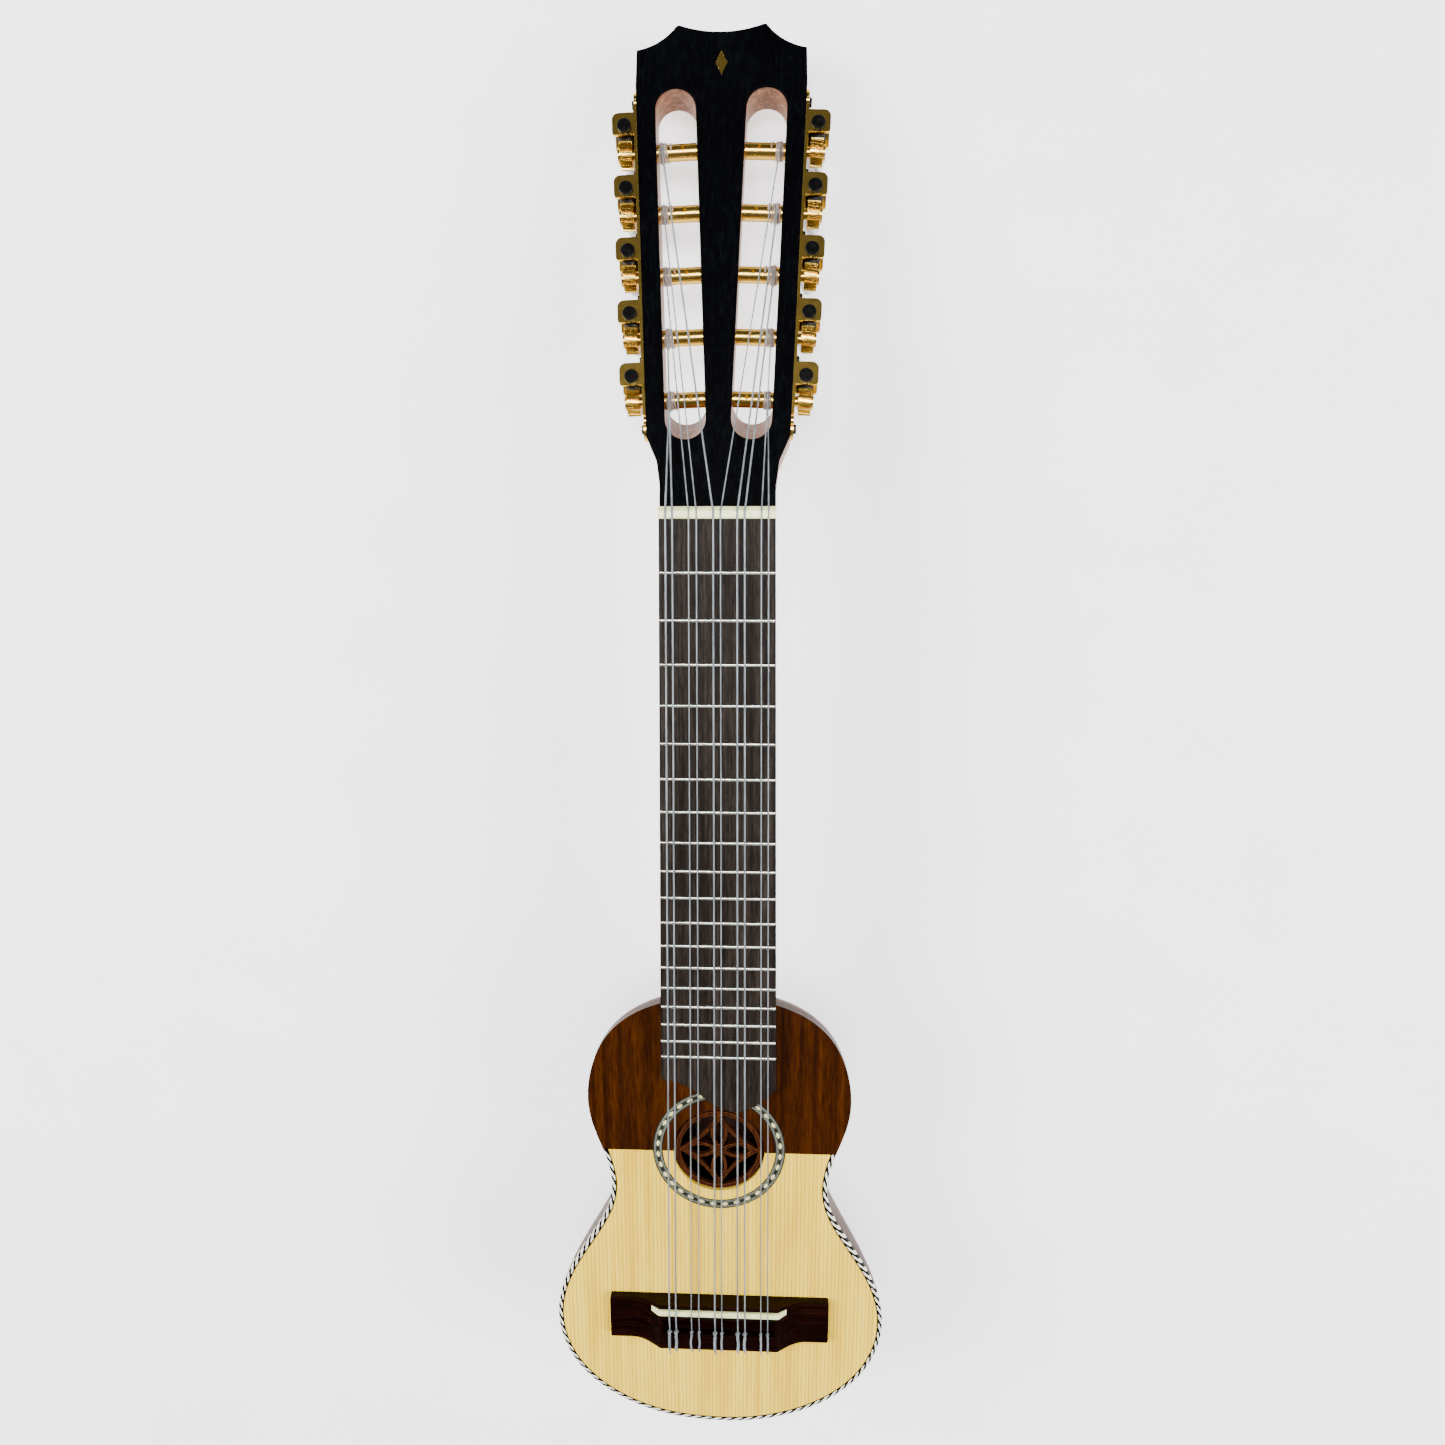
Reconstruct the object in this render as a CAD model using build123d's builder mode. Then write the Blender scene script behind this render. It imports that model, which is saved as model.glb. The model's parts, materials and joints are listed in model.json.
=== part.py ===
"""Ten-string charango: bowl-backed body, slotted head and geared tuning machines.

Millimetres. The instrument lies on its back: +Z up through the soundboard, +Y towards the
head, +X to the right. The origin is the middle of the flat under the bowl.
"""
from build123d import *
from math import atan2, cos, degrees, pi, radians, sin, sqrt
import os

os.makedirs("parts", exist_ok=True)

# ---------------------------------------------------------------- driving dimensions
SCALE = 370.0                 # nut to saddle
NUT_Y = 345.0                 # where the strings' speaking length starts
NUT_FRONT = 345.9             # front edge of the nut
NUT_T = 4.9
SADDLE_Y = NUT_Y - SCALE - 1.0

BODY_DEPTH = 68.0             # flat of the back to the top of the soundboard
BOARD_T = 3.0                 # soundboard thickness
RIM_Z = BODY_DEPTH - BOARD_T
RIM_WALL = 5.0
FLOOR_T = 4.5
BINDING_W = 2.4
JOINT_Y = 54.5                # where the dark and the pale soundboards meet
HOLE_Y = 55.5                 # soundhole centre

GRILLE_R = 20.0
HOLE_R = 21.5
ROSETTE_IN = 26.5
ROSETTE_OUT = 31.1
INLAY_T = 1.2

BEYOND = 200.0                # longer than anything it has to cut through

NUT_HALF = 23.85              # half width of the fingerboard at the nut
BOARD_TAPER = 2.45 / 239.2    # growth of the half width per millimetre
FINGER_T = 4.2
FINGER_TOP = BODY_DEPTH + FINGER_T
FRET_H = 0.8
FRET_COUNT = 18

HEAD_TILT = 13.5              # degrees back from the soundboard
HEAD_FACE_Z = 69.7            # head face, carried forward to the nut's front edge
HEAD_T = 15.0
VENEER_T = 0.9
HEAD_TAPER = degrees(atan2(6.0, 146.0))
SIDE_START = (29.5, 35.0)     # where a head side becomes straight: x, distance from the nut

SLOT_W = 16.8
SLOT_LENGTH = 146.9
SLOT_MID = 71.0               # along the head side, from SIDE_START
SLOT_IN = 16.2                # slot centre, inwards from the head side
SLOT_EASE = 0.4               # chamfer round the top edge of a slot
SLOT_LEAN = 0.753             # lean of a slot's nut end towards the tip, for each mm of depth

POST_FIRST = 16.0
POST_PITCH = 26.15
POST_COUNT = 5
POST_DEPTH = 5.8              # roller axes below the head face
ROLLER_R = 3.25
SHAFT_R = 2.2
RUNNING = 0.08                # radial clearance of shafts in their bores

TEETH = 14
GEAR_R = 5.5
GEAR_ROOT = 4.5
GEAR_PITCH_R = 5.15
GEAR_IN = 2.6                 # inner face of the gear, outwards from the head side
GEAR_OUT = 7.8
GROOVE_FOOT = 0.38            # half widths of a gear groove, at its foot and at the rim
GROOVE_RIM = 1.02
WORM_OFFSET = 8.5             # gear axis to worm axis, towards the tip
WORM_PITCH = 2 * pi * GEAR_PITCH_R / TEETH
WORM_ROOT = 2.7
WORM_R = 3.7
WORM_OUT = (GEAR_IN + GEAR_OUT) / 2
WORM_SHAFT_R = 1.6
WORM_CAP_R = 2.9
THREAD_FOOT = 0.7             # half widths of the worm's thread
THREAD_CREST = 0.3
PLATE_T = 1.2
PLATE_HALF = 6.1              # half height of the plate, which is also where the ears fold out
EAR_REACH = 10.0
EAR_SPAN = (-3.3, 6.0)        # along the plate, from the worm axis towards the tip
BUTTON_TOP = -10.3            # from the roller axis level, behind the head
BUTTON_RINGS = (              # drop below the button's top, long and short half widths
    (0.0, 3.0, 2.8), (3.0, 3.2, 2.9), (6.5, 6.3, 3.9),
    (10.5, 6.8, 4.1), (13.6, 4.9, 3.2), (14.5, 3.0, 2.0),
)
PIN_R = 2.5                   # the roller's inner bearing pin
PIN_LENGTH = 4.3
BARREL_START = 0.3            # inwards from the head side
BARREL_END = 24.3
STRING_HOLE_R = 0.9
STRING_HOLES = (13.6, 18.6)   # inwards from the head side

STRING_X = (-20.9, -18.1, -11.5, -8.3, -1.5, 1.45, 8.2, 11.25, 18.0, 20.9)
STRING_R = (0.37, 0.37, 0.27, 0.27, 0.37, 0.27, 0.37, 0.37, 0.27, 0.27)
SADDLE_SPREAD = 46.9 / 41.75
NUT_STRING_Z = 73.6
SADDLE_STRING_Z = 78.2
TIE_HOLE_Z = 74.8

BRIDGE_HALF = 52.8
BRIDGE_FRONT = -23.3
WING_BACK = -45.6
TIE_BACK = -47.4
WING_TOP = BODY_DEPTH + 3.5
BLOCK_TOP = BODY_DEPTH + 8.2
BLOCK_HALF = 27.0
BLOCK_SPREAD = 1.4            # how far the block's top runs out past BLOCK_HALF
SWEEP_FOOT = 43.0             # where the curve from the block meets the flat wing


# ---------------------------------------------------------------- outlines and frames
# Right half of the body outline at the soundboard, from the tail to the neck.
OUTLINE = (
    (0.0, -96.8), (26.0, -94.0), (52.6, -82.6), (71.5, -63.5), (79.0, -36.0), (74.5, -15.8),
    (59.4, 11.1), (52.0, 27.3), (51.0, 37.5), (54.8, 54.5), (59.9, 70.0), (61.2, 83.0),
    (58.8, 98.0), (51.8, 113.0), (38.0, 125.0), (20.0, 131.5), (0.0, 133.8),
)


def closed_outline(half):
    """The half outline and its mirror image, as one loop of points."""
    mirrored = [(-x, y) for x, y in reversed(half[1:-1])]
    return list(half) + mirrored


def inset_half(amount):
    """The half outline moved inwards by amount, square to the curve."""
    curve = Spline(*closed_outline(OUTLINE), periodic=True)
    moved = []
    for x, y in OUTLINE:
        along = curve % curve.param_at_point(Vector(x, y, 0))
        across = x - along.Y * amount if x else 0.0
        moved.append((across, y + along.X * amount))
    return moved


EGG_WIDTH = 76.0              # the waistless oval that the bowl approaches at its floor
EGG_LENGTH = 115.4
EGG_Y = 18.6
BULGE_POWER = 1.6
BULGE_ROOT = 1 / 2.4


def bowl_level(half, drop, depth):
    """The outline at a depth below the rim: it shrinks in, and its waist fades out."""
    share = drop / depth
    shrink = (1 - share ** BULGE_POWER) ** BULGE_ROOT
    points = []
    for x, y in half:
        egg = EGG_WIDTH * sqrt(max(0.0, 1 - ((y - EGG_Y) / EGG_LENGTH) ** 2))
        wide = x + share ** 2 * (egg - x) if x else 0.0
        points.append((wide * shrink, y * shrink))
    return points


def outline_face(half):
    """The closed, smooth body outline as a flat face."""
    with BuildSketch() as flat:
        with BuildLine():
            Spline(*closed_outline(half), periodic=True)
        make_face()
    return flat.sketch


def board_half(y):
    """Half width of the fingerboard at a place along the neck."""
    return NUT_HALF + (NUT_Y - y) * BOARD_TAPER


def fret_y(number):
    """Place of a fret by equal temperament."""
    return NUT_Y - SCALE * (1 - 2 ** (-number / 12))


TILT = radians(HEAD_TILT)
UP_HEAD = Vector(0, cos(TILT), -sin(TILT))
OUT_HEAD = Vector(0, sin(TILT), cos(TILT))
HEAD_PLANE = Plane(origin=(0, NUT_Y, HEAD_FACE_Z), x_dir=(1, 0, 0), z_dir=OUT_HEAD)
SIDES = (("left", -1), ("right", 1))


def side_axes(sign):
    """Unit vectors along a head side, towards the tip, and square out of it."""
    turn = radians(HEAD_TAPER)
    across = Vector(sign, 0, 0)
    along = across * sin(turn) + UP_HEAD * cos(turn)
    outward = across * cos(turn) - UP_HEAD * sin(turn)
    return along, outward


def side_point(sign, along_mm, out_mm, depth_mm):
    """A point by its place along a head side, out of it, and below the head face."""
    along, outward = side_axes(sign)
    start = HEAD_PLANE.from_local_coords(Vector(sign * SIDE_START[0], SIDE_START[1], 0))
    return start + along * along_mm + outward * out_mm - OUT_HEAD * depth_mm


def post_at(number):
    """Place of a roller along the head side."""
    return POST_FIRST + POST_PITCH * number


def roller_plane(sign, number, out_mm=0.0):
    """Plane square to a roller, with its normal out of the head."""
    along, outward = side_axes(sign)
    return Plane(side_point(sign, post_at(number), out_mm, POST_DEPTH), x_dir=along, z_dir=outward)


def worm_plane(sign, number, rise=0.0):
    """Plane square to a worm, level with its roller, with x pointing away from the gear."""
    along = side_axes(sign)[0]
    centre = side_point(sign, post_at(number) + WORM_OFFSET, WORM_OUT, POST_DEPTH - rise)
    return Plane(centre, x_dir=along, z_dir=OUT_HEAD)


def side_plane(sign, out_mm=0.0):
    """Plane on the head side at roller level, x towards the tip, normal out of the head."""
    along, outward = side_axes(sign)
    return Plane(side_point(sign, 0.0, out_mm, POST_DEPTH), x_dir=along, z_dir=outward)


def face_plane(sign, depth_mm):
    """Plane parallel to the head face, with x along the head side."""
    along = side_axes(sign)[0]
    return Plane(side_point(sign, 0.0, 0.0, depth_mm), x_dir=along, z_dir=OUT_HEAD)


def save(piece, label):
    """Label a finished piece and write it."""
    piece.part.label = label
    export_step(piece.part, f"parts/{label}.step")


# ---------------------------------------------------------------- bowl and soundboards
INNER_HALF = inset_half(RIM_WALL)
BINDING_HALF = inset_half(BINDING_W)
LEVELS = (0.0, 8.0, 18.0, 29.0, 40.0, 50.0, 58.0, 63.0)
OPEN_END = 1.5                # the bowl's curve would close this far below its floor

with BuildPart() as bowl_outer:
    for drop in LEVELS + (RIM_Z,):
        with BuildSketch(Plane.XY.offset(RIM_Z - drop)):
            add(outline_face(bowl_level(OUTLINE, drop, RIM_Z + OPEN_END)))
    loft()

with BuildPart() as bowl_inner:
    for drop in LEVELS[:-1] + (RIM_Z - FLOOR_T,):
        with BuildSketch(Plane.XY.offset(RIM_Z - drop)):
            add(outline_face(bowl_level(INNER_HALF, drop, RIM_Z - FLOOR_T + OPEN_END)))
    loft()

with BuildPart() as bowl:
    add(bowl_outer.part)
    add(bowl_inner.part, mode=Mode.SUBTRACT)
save(bowl, "bowl")


def fingerboard_outline():
    """The fingerboard from above: straight sides and a waved end over the top."""
    left_end = (-board_half(94.5), 94.5)
    right_end = (board_half(90.3), 90.3)
    wave = ((-20.0, 93.0), (-13.4, 90.2), (-5.9, 84.5), (1.3, 79.7), (9.6, 78.5), (18.5, 82.8))
    with BuildSketch() as flat:
        with BuildLine():
            Spline(left_end, *wave, right_end)
            Polyline(right_end, (NUT_HALF, NUT_FRONT), (-NUT_HALF, NUT_FRONT), left_end)
        make_face()
    return flat.sketch


with BuildPart() as rosette_ring:
    with BuildSketch(Plane.XY.offset(BODY_DEPTH - INLAY_T)):
        with Locations((0, HOLE_Y)):
            Circle(ROSETTE_OUT)
            Circle(ROSETTE_IN, mode=Mode.SUBTRACT)
    extrude(amount=INLAY_T)
    with BuildSketch(Plane.XY.offset(BODY_DEPTH - INLAY_T)):
        add(fingerboard_outline())
    extrude(amount=INLAY_T, mode=Mode.SUBTRACT)
save(rosette_ring, "rosette_ring")


PAST_TAIL = -120.0
PAST_SHOULDER = 150.0


def board_blank(half, low_y, high_y):
    """Extruded body outline between two places along the body, with the soundhole cut."""
    with BuildPart() as blank:
        with BuildSketch(Plane.XY.offset(RIM_Z)):
            add(outline_face(half))
            with Locations((0, (low_y + high_y) / 2)):
                Rectangle(BEYOND, high_y - low_y, mode=Mode.INTERSECT)
            with Locations((0, HOLE_Y)):
                Circle(HOLE_R, mode=Mode.SUBTRACT)
        extrude(amount=BOARD_T)
        add(rosette_ring.part, mode=Mode.SUBTRACT)
    return blank.part


with BuildPart() as soundboard_upper:
    add(board_blank(OUTLINE, JOINT_Y, PAST_SHOULDER))
save(soundboard_upper, "soundboard_upper")

with BuildPart() as soundboard_lower:
    add(board_blank(BINDING_HALF, PAST_TAIL, JOINT_Y))
save(soundboard_lower, "soundboard_lower")

with BuildPart() as rope_binding:
    with BuildSketch(Plane.XY.offset(RIM_Z)):
        add(outline_face(OUTLINE))
        with Locations((0, (JOINT_Y + PAST_TAIL) / 2)):
            Rectangle(BEYOND, JOINT_Y - PAST_TAIL, mode=Mode.INTERSECT)
    extrude(amount=BOARD_T)
    with BuildSketch(Plane.XY.offset(RIM_Z)):
        add(outline_face(BINDING_HALF))
    extrude(amount=BOARD_T, mode=Mode.SUBTRACT)
save(rope_binding, "rope_binding")


# ---------------------------------------------------------------- soundhole grille
GRILLE_T = 2.6
GRILLE_RIM_T = 0.8            # hidden rim that holds the grille in the soundhole
GRILLE_RING = 1.7
GRILLE_BAR = 1.2
GRILLE_BOSS_R = 1.5
STAR_REACH = GRILLE_R - GRILLE_RING + 0.6
STAR_WAIST = 11.4
STAR_POINT = 2.8              # solid length of a star's point
LEAF_ROOT = 0.2
LEAF_TIP = GRILLE_R - GRILLE_RING
LEAF_HALF = 3.7
LEAF_POINTS = (2.4, 3.2)      # solid lengths at the leaf's root and tip


def star_face(reach, waist):
    """Four-pointed star with hollow sides; waist is its least radius, between the points."""
    with BuildSketch() as flat:
        with BuildLine():
            for quarter in range(4):
                turn = pi / 2 * quarter
                middle = turn + pi / 4
                onward = turn + pi / 2
                ThreePointArc(
                    (reach * cos(turn), reach * sin(turn)),
                    (waist * cos(middle), waist * sin(middle)),
                    (reach * cos(onward), reach * sin(onward)),
                )
        make_face()
    return flat.sketch


def leaf_face(near, far, half_width):
    """A pointed leaf along x."""
    middle = (near + far) / 2
    with BuildSketch() as flat:
        with BuildLine():
            ThreePointArc((near, 0), (middle, half_width), (far, 0))
            ThreePointArc((far, 0), (middle, -half_width), (near, 0))
        make_face()
    return flat.sketch


with BuildPart() as soundhole_grille:
    with BuildSketch(Plane((0, HOLE_Y, BODY_DEPTH - GRILLE_T))):
        Circle(GRILLE_R)
        Circle(LEAF_TIP, mode=Mode.SUBTRACT)
        add(star_face(STAR_REACH, STAR_WAIST))
        add(star_face(STAR_REACH - STAR_POINT, STAR_WAIST - GRILLE_BAR), mode=Mode.SUBTRACT)
        with PolarLocations(0, 4):
            add(leaf_face(LEAF_ROOT, LEAF_TIP, LEAF_HALF))
        window = leaf_face(LEAF_ROOT + LEAF_POINTS[0], LEAF_TIP - LEAF_POINTS[1], LEAF_HALF - GRILLE_BAR)
        with PolarLocations(0, 4):
            add(window, mode=Mode.SUBTRACT)
        Circle(GRILLE_BOSS_R)
    extrude(amount=GRILLE_T)
    with BuildSketch(Plane((0, HOLE_Y, BODY_DEPTH - GRILLE_T))):
        Circle(HOLE_R)
        Circle(LEAF_TIP, mode=Mode.SUBTRACT)
    extrude(amount=GRILLE_RIM_T)
save(soundhole_grille, "soundhole_grille")


# ---------------------------------------------------------------- braces inside
BRACE_W = 5.0
BRACE_H = 6.0
BRACE_TIP_H = 1.5
BRACE_SCOOP = 8.0
CROSS_BRACES = ((96.0, 44.0), (16.0, 42.0))               # y, half length
FAN_BRACES = ((-26.0, 12.0), (0.0, 0.0), (26.0, -12.0))   # x at the middle, degrees
FAN_Y = -34.0
FAN_W = 3.6
FAN_LENGTH = 82.0
FAN_H = 4.0

with BuildPart() as top_braces:
    for brace_y, reach in CROSS_BRACES:
        with BuildSketch(Plane.XZ.offset(-brace_y)):
            with BuildLine():
                Polyline(
                    (-reach, RIM_Z), (-reach, RIM_Z - BRACE_TIP_H), (BRACE_SCOOP - reach, RIM_Z - BRACE_H),
                    (reach - BRACE_SCOOP, RIM_Z - BRACE_H), (reach, RIM_Z - BRACE_TIP_H), (reach, RIM_Z),
                    close=True,
                )
            make_face()
        extrude(amount=BRACE_W / 2, both=True)
    for brace_x, angle in FAN_BRACES:
        with BuildSketch(Plane.XY.offset(RIM_Z - FAN_H)):
            with Locations(Location((brace_x, FAN_Y, 0), (0, 0, angle))):
                RectangleRounded(FAN_W, FAN_LENGTH, 0.45 * FAN_W)
        extrude(amount=FAN_H)
save(top_braces, "top_braces")


# ---------------------------------------------------------------- neck and head
def neck_section(half_width, depth, squareness):
    """D-shaped section: a flat top and a rounded belly, squarer as squareness grows."""
    belly = []
    for step in range(1, 8):
        angle = pi * step / 8
        reach = abs(cos(angle)) ** (2 / squareness) * (1 if cos(angle) > 0 else -1)
        belly.append((half_width * reach, -depth * sin(angle) ** (2 / squareness)))
    with BuildSketch() as flat:
        with BuildLine():
            Line((-half_width, 0), (half_width, 0))
            Spline((half_width, 0), *belly, (-half_width, 0), tangents=[(0, -1), (0, 1)])
        make_face()
    return flat.sketch


def across_neck(y):
    """Plane square to the neck, with x to the right and y up."""
    return Plane((0, y, BODY_DEPTH), x_dir=(1, 0, 0), z_dir=(0, -1, 0))


def across_head(reach):
    """Plane square to the head, with x to the right and y out of its face."""
    centre = HEAD_PLANE.from_local_coords(Vector(0, reach, -VENEER_T))
    return Plane(centre, x_dir=(1, 0, 0), z_dir=-UP_HEAD)


HEAD_FOOT_HALF = NUT_HALF - 0.05
HEAD_WAIST = ((HEAD_FOOT_HALF, 14.7), (25.2, 25.0))
SHOULDER = (35.5, 181.0)
CORNER = (35.2, 196.0)
CORNER_SAG = (25.0, 200.0)
HORN = (18.3, 206.5)
HORN_R = 1.4
CREST_DIP = 203.2


def head_outline(start):
    """The head seen square on, from a place past the nut to the tip."""
    right = ((HEAD_FOOT_HALF, start), *HEAD_WAIST, SIDE_START, SHOULDER, CORNER)
    with BuildSketch() as flat:
        with BuildLine():
            Polyline(*right)
            ThreePointArc(CORNER, CORNER_SAG, HORN)
            ThreePointArc(HORN, (0, CREST_DIP), (-HORN[0], HORN[1]))
            ThreePointArc((-HORN[0], HORN[1]), (-CORNER_SAG[0], CORNER_SAG[1]), (-CORNER[0], CORNER[1]))
            Polyline(*[(-x, y) for x, y in reversed(right)])
            Line((-right[0][0], start), right[0])
        make_face()
        fillet(flat.vertices().group_by(Axis.Y)[-1], HORN_R)
    return flat.sketch


CUT_PAST = 3.0


def slot_cutter(sign):
    """The space of one string slot: upright walls, a round tip end and a leaning nut end."""
    tip_end = SLOT_MID + SLOT_LENGTH / 2
    with BuildPart() as cutter:
        for depth in (HEAD_T + CUT_PAST, -CUT_PAST):
            nut_end = SLOT_MID - SLOT_LENGTH / 2 + SLOT_LEAN * depth
            with BuildSketch(face_plane(sign, depth)):
                with Locations(((nut_end + tip_end) / 2, sign * SLOT_IN)):
                    SlotOverall(tip_end - nut_end, SLOT_W)
        loft(ruled=True)
        with BuildSketch(face_plane(sign, 0.0)):
            with Locations((SLOT_MID, sign * SLOT_IN)):
                SlotOverall(SLOT_LENGTH + 2 * SLOT_EASE, SLOT_W + 2 * SLOT_EASE)
        extrude(amount=-SLOT_EASE, taper=45)
    return cutter.part


SLOTS = [slot_cutter(sign) for _, sign in SIDES]

SCREW_ENDS = (4.4, 141.6)
SCREW_PAST_POST = 17.0
SCREW_MIDDLE = [post_at(number) + SCREW_PAST_POST for number in range(POST_COUNT - 1)]
SCREW_AT = [SCREW_ENDS[0], *SCREW_MIDDLE, SCREW_ENDS[1]]
SCREW_R = 1.2
SCREW_DEPTH = 7.0

HEEL_IN = 96.0                # the heel ends inside the bowl here
HEEL_START = 200.0
HEEL_DEPTH = 43.0
HEEL_SECTIONS = 7
SHAFT_END = 330.0
SHAFT_DEPTH = (17.4, 15.4, 14.4)   # at the heel, at SHAFT_END and at the nut
BELLY = (2.2, 2.5, 3.5)       # squareness of the section: shaft, nut and head
NECK_END = 12.0               # past the nut, where the head's own outline takes over
VENEER_START = 6.2            # past NUT_Y along the head face, clear of the nut


def heel_depth(y):
    """Depth of the heel, which swells as it nears the bowl."""
    share = (HEEL_START - y) / (HEEL_START - HEEL_IN)
    return SHAFT_DEPTH[0] + (HEEL_DEPTH - SHAFT_DEPTH[0]) * share ** 2.2


with BuildPart() as neck_heel:
    for step in range(HEEL_SECTIONS):
        y = HEEL_START + (HEEL_IN - HEEL_START) * step / (HEEL_SECTIONS - 1)
        with BuildSketch(across_neck(y)):
            add(neck_section(board_half(y), heel_depth(y), BELLY[0]))
    loft()

with BuildPart() as neck_shaft:
    for y, depth in ((HEEL_START, SHAFT_DEPTH[0]), (SHAFT_END, SHAFT_DEPTH[1])):
        with BuildSketch(across_neck(y)):
            add(neck_section(board_half(y), depth, BELLY[0]))
    loft(ruled=True)

with BuildPart() as neck_joint:
    with BuildSketch(across_neck(SHAFT_END)):
        add(neck_section(board_half(SHAFT_END), SHAFT_DEPTH[1], BELLY[0]))
    with BuildSketch(across_neck(NUT_FRONT)):
        add(neck_section(NUT_HALF, SHAFT_DEPTH[2], BELLY[1]))
    with BuildSketch(across_head(NECK_END)):
        add(neck_section(NUT_HALF, HEAD_T - VENEER_T, BELLY[2]))
    loft(ruled=True)

with BuildPart() as neck:
    add(neck_heel.part)
    add(neck_shaft.part)
    add(neck_joint.part)
    with BuildSketch(HEAD_PLANE.offset(-HEAD_T)):
        add(head_outline(NECK_END))
    extrude(amount=HEAD_T - VENEER_T)
    for cutter in SLOTS:
        add(cutter, mode=Mode.SUBTRACT)
    for _, sign in SIDES:
        for number in range(POST_COUNT):
            with BuildSketch(roller_plane(sign, number, -SLOT_IN)):
                Circle(ROLLER_R + RUNNING)
            extrude(amount=SLOT_IN + PLATE_T, mode=Mode.SUBTRACT)
            with BuildSketch(roller_plane(sign, number, -BARREL_END)):
                Circle(PIN_R + RUNNING)
            extrude(amount=-PIN_LENGTH - RUNNING, mode=Mode.SUBTRACT)
        with BuildSketch(side_plane(sign, -SCREW_DEPTH)):
            with Locations(*[(at, 0) for at in SCREW_AT]):
                Circle(SCREW_R + 0.02)
        extrude(amount=SCREW_DEPTH + PLATE_T, mode=Mode.SUBTRACT)
    add(bowl_outer.part, mode=Mode.SUBTRACT)
    with BuildSketch(Plane.XY.offset(RIM_Z)):
        add(outline_face(OUTLINE))
    extrude(amount=BOARD_T, mode=Mode.SUBTRACT)
save(neck, "neck")

with BuildPart() as head_veneer:
    with BuildSketch(HEAD_PLANE.offset(-VENEER_T)):
        add(head_outline(VENEER_START))
    extrude(amount=VENEER_T)
    for cutter in SLOTS:
        add(cutter, mode=Mode.SUBTRACT)
save(head_veneer, "head_veneer")


# ---------------------------------------------------------------- fingerboard, frets, nut
TANG_W = 0.5
TANG_DEPTH = 1.6
TANG_PLAY = 0.06
CROWN_HALF = 0.85
FRET_SHORT = 0.3              # the frets stop this far inside the fingerboard's sides

with BuildPart() as fingerboard:
    with BuildSketch(Plane.XY.offset(BODY_DEPTH)):
        add(fingerboard_outline())
    extrude(amount=FINGER_T)
    for number in range(1, FRET_COUNT + 1):
        with BuildSketch(Plane.XY.offset(FINGER_TOP - TANG_DEPTH - TANG_PLAY)):
            with Locations((0, fret_y(number))):
                Rectangle(BEYOND, TANG_W + TANG_PLAY)
        extrude(amount=TANG_DEPTH + TANG_PLAY, mode=Mode.SUBTRACT)
save(fingerboard, "fingerboard")

with BuildPart() as frets:
    for number in range(1, FRET_COUNT + 1):
        y = fret_y(number)
        reach = board_half(y) - FRET_SHORT
        with BuildSketch(Plane.YZ):
            with BuildLine():
                Line((y - CROWN_HALF, FINGER_TOP), (y + CROWN_HALF, FINGER_TOP))
                ThreePointArc(
                    (y + CROWN_HALF, FINGER_TOP), (y, FINGER_TOP + FRET_H), (y - CROWN_HALF, FINGER_TOP)
                )
            make_face()
            with Locations((y, FINGER_TOP - TANG_DEPTH / 2)):
                Rectangle(TANG_W, TANG_DEPTH)
        extrude(amount=reach, both=True)
save(frets, "frets")


def string_x(index, y):
    """Where a string runs at a place between the nut and the saddle."""
    share = (NUT_Y - y) / (NUT_Y - SADDLE_Y)
    return STRING_X[index] * (1 + (SADDLE_SPREAD - 1) * share)


NUT_TOP = NUT_STRING_Z + 0.15
NUT_OVER = 0.15               # the nut stands proud of the fingerboard's sides
NOTCH_PLAY = 0.1
NOTCH_FALL = 4.6              # length of the notch's fall towards the head

with BuildPart() as nut:
    with BuildSketch(Plane.YZ):
        with BuildLine():
            Polyline(
                (NUT_FRONT, BODY_DEPTH), (NUT_FRONT, NUT_TOP - 0.4), (NUT_FRONT + 0.6, NUT_TOP),
                (NUT_FRONT + 3.2, NUT_TOP - 0.1), (NUT_FRONT + NUT_T, NUT_TOP - 1.6),
                (NUT_FRONT + NUT_T, BODY_DEPTH),
                close=True,
            )
        make_face()
    extrude(amount=NUT_HALF + NUT_OVER, both=True)
    for index, x in enumerate(STRING_X):
        radius = STRING_R[index] + NOTCH_PLAY
        with BuildSketch(Plane.XZ.offset(-NUT_FRONT - NUT_T)):
            with Locations((x, NUT_STRING_Z)):
                Circle(radius)
            with Locations((x, NUT_STRING_Z + 1)):
                Rectangle(2 * radius, 2)
        extrude(amount=NUT_T, mode=Mode.SUBTRACT)
        with BuildSketch(Plane.XY.offset(NUT_STRING_Z - 3)):
            with Locations((x, NUT_FRONT + NUT_T)):
                Rectangle(2 * radius, NOTCH_FALL)
        extrude(amount=6, mode=Mode.SUBTRACT)
save(nut, "nut")


# ---------------------------------------------------------------- bridge and saddle
SADDLE_HALF_T = 1.45
SADDLE_BED = BODY_DEPTH + 2.0
SADDLE_MID = SADDLE_Y - 0.9
SADDLE_HALF = 32.5
SADDLE_FLAT = 27.8            # half length of the saddle's level top
SADDLE_TOP = SADDLE_STRING_Z - 0.47
SADDLE_END = WING_TOP + 2.2
CHANNEL = (-39.2, -30.2)
CHANNEL_FLOOR = WING_TOP + 0.6
WING_STEP = ((41.5, WING_BACK), (34.0, -46.5), (27.5, TIE_BACK))
WING_CORNER_R = 0.9
TIE_HOLE_R = 0.7
TIE_Y = -43.0

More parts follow.
